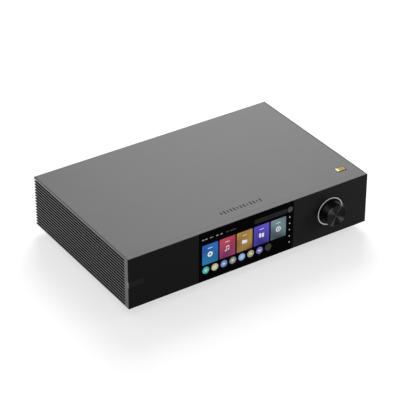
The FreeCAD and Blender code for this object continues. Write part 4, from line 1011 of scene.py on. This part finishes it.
def screw_thread(start, stop, pitch, depth):
    """Scale that cuts a thread between two places: a triangle wave of the place along the
    axis less the share of a turn."""
    def lobes(profile, angle):
        radius, place = np.asarray(profile)[:, :1], np.asarray(profile)[:, 1:2]
        wave = np.abs(2 * ((place / pitch - angle / TURN) % 1) - 1)
        inside = (place > start) & (place < stop) & (radius > radius.max() * 0.8)
        return np.where(inside, 1 - wave * depth / np.maximum(radius, 1e-9), 1.0)
    return lobes


def socket_centres(node):
    """Axis of each solid of a node that is turned about Y."""
    return [(centre_of(b)[0], 0.0, centre_of(b)[2]) for b in solid_boxes(node)]


class DAC_OT_sockets(Operator):
    """Makes the turned phono and aerial sockets and eases the moulded ones"""
    bl_idname = "dac.sockets"
    bl_label = "Rear sockets"

    def execute(self, context):
        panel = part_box("rear_panel")[1].y
        low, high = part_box("phono_shells")
        spots = socket_centres("phono_shells")
        shell, bore, collar = 4.15 * MM, 3.5 * MM, 6 * MM
        tip = high.y
        section = [(bore, low.y), (shell, low.y), (shell, panel), (collar, panel),
                   (collar, panel + 1.2 * MM), (collar - 0.3 * MM, panel + 1.5 * MM),
                   (shell, panel + 1.5 * MM), (shell, tip - 0.6 * MM)]
        section += arc((shell - 0.3 * MM, tip - 0.3 * MM), 0.3 * MM, 0, 90, 4)
        section += [(bore + 0.1 * MM, tip), (bore, tip - 0.1 * MM)]
        stand_in("phono_shells", "phono_shells_turned", section, spots, "y", count=48, close=True,
                 lobes=hexagon((3, 4)))
        eased("phono_cores", "phono_core_insulators", 0.2)
        self.aerials(panel)
        for node, name in (("xlr_output_jacks", "balanced_output_shells"),
                           ("xlr_input_jacks", "balanced_input_shells"),
                           ("xlr_input_inserts", "balanced_input_insulators"),
                           ("optical_jacks", "optical_socket_bodies"),
                           ("usb_jacks", "usb_socket_shells"),
                           ("network_jack", "network_socket_shell"),
                           ("video_jack", "video_socket_shell"),
                           ("trigger_jacks", "trigger_socket_bodies"),
                           ("mains_inlet", "mains_inlet_body"), ("fuse_drawer", "fuse_tray"),
                           ("rocker_housing", "rocker_frame"), ("power_rocker", "rocker_key"),
                           ("latch_tab_left", "latch_key_left"),
                           ("latch_tab_right", "latch_key_right")):
            eased(node, name, 0.2)
        self.flange_screws()
        return {"FINISHED"}

    def aerials(self, panel):
        """Threaded barrels with a hexagon nut; the thread is cut by the scale function."""
        low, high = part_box("antenna_jacks")
        barrel, bore, nut, tip = 3.15 * MM, 2.3 * MM, 4.6 * MM, high.y
        section = [(NEAR_AXIS, low.y), (barrel, low.y), (barrel, panel), (nut, panel),
                   (nut, panel + 1.8 * MM), (nut - 0.25 * MM, panel + 2 * MM),
                   (barrel, panel + 2 * MM)]
        section += [(barrel, place) for place in np.linspace(panel + 2.2 * MM, tip - 0.4 * MM, 48)]
        section += [(barrel - 0.3 * MM, tip), (bore, tip), (bore, tip - 8 * MM),
                    (0.5 * MM, tip - 8 * MM), (0.5 * MM, tip - 0.6 * MM), (NEAR_AXIS, tip - 0.4 * MM)]
        thread = screw_thread(panel + 2.3 * MM, tip - 0.5 * MM, 0.9 * MM, 0.35 * MM)
        flats = hexagon((3, 4))

        def lobes(profile, angle):
            return thread(profile, angle) * flats(profile, angle)

        stand_in("antenna_jacks", "aerial_sockets_threaded", section,
                 socket_centres("antenna_jacks"), "y", count=48, lobes=lobes)

    def flange_screws(self):
        """Small screws in opposite corners of each balanced socket's flange."""
        spots = []
        for node in ("xlr_output_jacks", "xlr_input_jacks"):
            for low, high in solid_boxes(node):
                for side in (-1, 1):
                    inset = 3.2 * MM
                    middle = (low + high) / 2
                    x = middle[0] + side * ((high - low)[0] / 2 - inset)
                    z = middle[2] + side * ((high - low)[2] / 2 - inset)
                    spots.append((x, high[1] - 0.05 * MM, z))
        profile = screw_profile(2.2 * MM, 0.9 * MM, 1.2 * MM, 1 * MM, 0.9 * MM)
        made = turned("flange_screws", profile, spots, "y", FINISH["black_screw"], count=24,
                      lobes=hexagon((0, 1, 2)))


# ---------------------------------------------------------------- inside

class DAC_OT_inside(Operator):
    """Makes the wound transformer and the crimped capacitors"""
    bl_idname = "dac.inside"
    bl_label = "Inner parts"

    def execute(self, context):
        low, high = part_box("transformer")
        outer, inner, round_off = (high.x - low.x) / 2, 13 * MM, 10 * MM
        section = (arc((outer - round_off, low.z + round_off), round_off, -90, 0, 9)
                   + arc((outer - round_off, high.z - round_off), round_off, 0, 90, 9)
                   + [(inner + 2 * MM, high.z), (inner, high.z - 2 * MM),
                      (inner, low.z + 2 * MM), (inner + 2 * MM, low.z)])

        def turns(profile, angle):
            """Windings: the radius rises and falls 0.4 mm, 48 times in a turn."""
            wave = 1 - 0.4 * MM / np.asarray(profile)[:, :1] * (0.5 + 0.5 * np.cos(48 * angle))
            return np.where(np.asarray(profile)[:, :1] > inner + 3 * MM, wave, 1.0)

        centre = ((low.x + high.x) / 2, (low.y + high.y) / 2, 0.0)
        stand_in("transformer", "transformer_wound", section, [centre], "z", count=288, close=True,
                 lobes=turns)
        boxes = solid_boxes("power_capacitors")
        (bottom, top), radius = (boxes[0][0][2], boxes[0][1][2]), 9 * MM
        crimp = bottom + 3 * MM
        can = [(NEAR_AXIS, bottom), (radius - 0.5 * MM, bottom), (radius, bottom + 0.5 * MM),
               (radius, crimp - 0.8 * MM), (radius - 0.7 * MM, crimp), (radius, crimp + 0.8 * MM),
               (radius, top - 0.8 * MM), (radius - 0.8 * MM, top), (radius - 1.6 * MM, top),
               (radius - 1.8 * MM, top - 0.3 * MM), (NEAR_AXIS, top - 0.3 * MM)]
        spots = [(*centre_of(b)[:2], 0.0) for b in boxes]
        stand_in("power_capacitors", "capacitors_crimped", can, spots, "z", count=40)
        return {"FINISHED"}


# ---------------------------------------------------------------- stage

def lamp(name, place, aim, size, power, mirrored=True, only=()):
    """A square soft lamp at a place, turned to shine at a point. Gloss may leave it out, and
    with only it lights the named objects and leaves the rest as they are."""
    light = bpy.data.lights.new(name, "AREA")
    light.shape = "SQUARE"
    light.size = size
    light.energy = power
    made = bpy.data.objects.new(name, light)
    made.location = place
    made.rotation_euler = (Vector(aim) - Vector(place)).to_track_quat("-Z", "Y").to_euler()
    made.visible_glossy = mirrored
    if only:
        lit = bpy.data.collections.new(f"{name}_lights")
        for lit_name in only:
            lit.objects.link(bpy.data.objects[lit_name])
        made.light_linking.receiver_collection = lit
    bpy.context.scene.collection.objects.link(made)


def light_table(colour, glow):
    """Opal acrylic light table: matt and evenly aglow, so that shadows stay pale."""
    made, _, shader, _ = surface("opal acrylic", colour, 0.0, 0.9, 4, 0.02, 0.004, 400,
                                 Specular_IOR_Level=0.1)
    shader.inputs["Emission Color"].default_value = (1, 1, 1, 1)
    shader.inputs["Emission Strength"].default_value = glow
    mesh = bpy.data.meshes.new("studio_floor")
    half = 9.0
    mesh.from_pydata([(-half, -half, 0), (half, -half, 0), (half, half, 0), (-half, half, 0)], [],
                     [(0, 1, 2, 3)])
    mesh.materials.append(made)
    floor = bpy.data.objects.new("studio_floor", mesh)
    bpy.context.scene.collection.objects.link(floor)


def room_light(strength, front):
    """Even white light from above and behind that falls to a share of it in front: the
    strength follows the direction's height and depth."""
    world = bpy.data.worlds.new("studio")
    bpy.context.scene.world = world
    world.use_nodes = True
    tree = world.node_tree
    where = add(tree, "ShaderNodeTexCoord").outputs["Generated"]
    towards = add(tree, "ShaderNodeVectorMath", {"operation": "DOT_PRODUCT", 1: (0.1, 0.6, 0.8)},
                  at0=where).outputs["Value"]
    level = add(tree, "ShaderNodeMapRange",
                {"From Min": -0.5, "From Max": 0.5, "To Min": strength * front,
                 "To Max": strength}, Value=towards).outputs[0]
    tree.links.new(level, tree.nodes["Background"].inputs["Strength"])
    tree.nodes["Background"].inputs["Color"].default_value = (1, 1, 1, 1)


class DAC_OT_stage(Operator):
    """Makes the floor, the room light, the lamps and the camera"""
    bl_idname = "dac.stage"
    bl_label = "Stage"

    def execute(self, context):
        stage = context.scene.dac_stage
        light_table(stage.floor, stage.table)
        room_light(stage.sky, stage.front)
        lamp("key_lamp", place=(0.98, 1.49, 1.6), aim=(0, 0, 0.05), size=1.2, power=stage.key,
             mirrored=False)
        lamp("back_lamp", place=(1.5, 2.1, 1.15), aim=(0.1, 0.1, 0.05), size=1.2,
             power=stage.back)
        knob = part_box("volume_knob")
        face = (knob[0] + knob[1]) / 2
        lamp("side_lamp", place=(1.2, -0.6, 0.25), aim=face, size=0.4, power=stage.side,
             only=("volume_knob_turned", "fascia_plate_right"))
        lamp("knob_lamp", place=(-0.37, -1.54, 0.5), aim=face, size=0.9, power=stage.knob,
             only=("volume_knob_turned",))
        cam = bpy.data.cameras.new("camera")
        cam.lens = stage.lens
        cam.sensor_width = 36
        cam.clip_start, cam.clip_end = 0.05, 60
        made = bpy.data.objects.new("camera", cam)
        context.scene.collection.objects.link(made)
        a, e = stage.azimuth, stage.elevation
        back = Vector((math.sin(a) * math.cos(e), -math.cos(a) * math.cos(e), math.sin(e)))
        turn = (-back).to_track_quat("-Z", "Y")
        right, up = turn @ Vector((1, 0, 0)), turn @ Vector((0, 1, 0))
        low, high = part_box("front_frame")
        middle = Vector((0, (low.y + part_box("rear_panel")[1].y) / 2, (low.z + high.z) / 2))
        across, down = 0.892 * MM, 1.578 * MM
        aim = middle - across * right - down * up
        made.location = aim + stage.distance * back
        made.rotation_mode = "QUATERNION"
        made.rotation_quaternion = turn
        context.scene.camera = made
        context.scene.view_settings.view_transform = "Standard"
        return {"FINISHED"}


# ---------------------------------------------------------------- add-on

class DAC_PT_sidebar(Panel):
    """Lists the steps and the sizes and colours"""
    bl_idname = "DAC_PT_sidebar"
    bl_label = "Desktop DAC"
    bl_space_type = "VIEW_3D"
    bl_region_type = "UI"
    bl_category = "DAC"

    def draw(self, context):
        scene = context.scene
        for group in (scene.dac_sizes, scene.dac_colours, scene.dac_stage):
            box = self.layout.box()
            for name in group.__annotations__:
                box.prop(group, name)
        for step in STEPS:
            self.layout.operator(step.bl_idname)


STEPS = (DAC_OT_finishes, DAC_OT_case, DAC_OT_screws, DAC_OT_feet, DAC_OT_badge, DAC_OT_front,
         DAC_OT_screen, DAC_OT_knob, DAC_OT_sockets, DAC_OT_inside, DAC_OT_stage)
GROUPS = {"dac_sizes": DacSizes, "dac_colours": DacColours, "dac_stage": DacStage}


def register():
    for kind in (*GROUPS.values(), *STEPS, DAC_PT_sidebar):
        bpy.utils.register_class(kind)
    for name, kind in GROUPS.items():
        setattr(bpy.types.Scene, name, PointerProperty(type=kind))


def unregister():
    for name in GROUPS:
        delattr(bpy.types.Scene, name)
    for kind in (*GROUPS.values(), *STEPS, DAC_PT_sidebar):
        bpy.utils.unregister_class(kind)


def main():
    """Runs every step in order."""
    register()
    for step in STEPS:
        group, name = step.bl_idname.split(".")
        getattr(getattr(bpy.ops, group), name)()


if __name__ == "__main__":
    main()
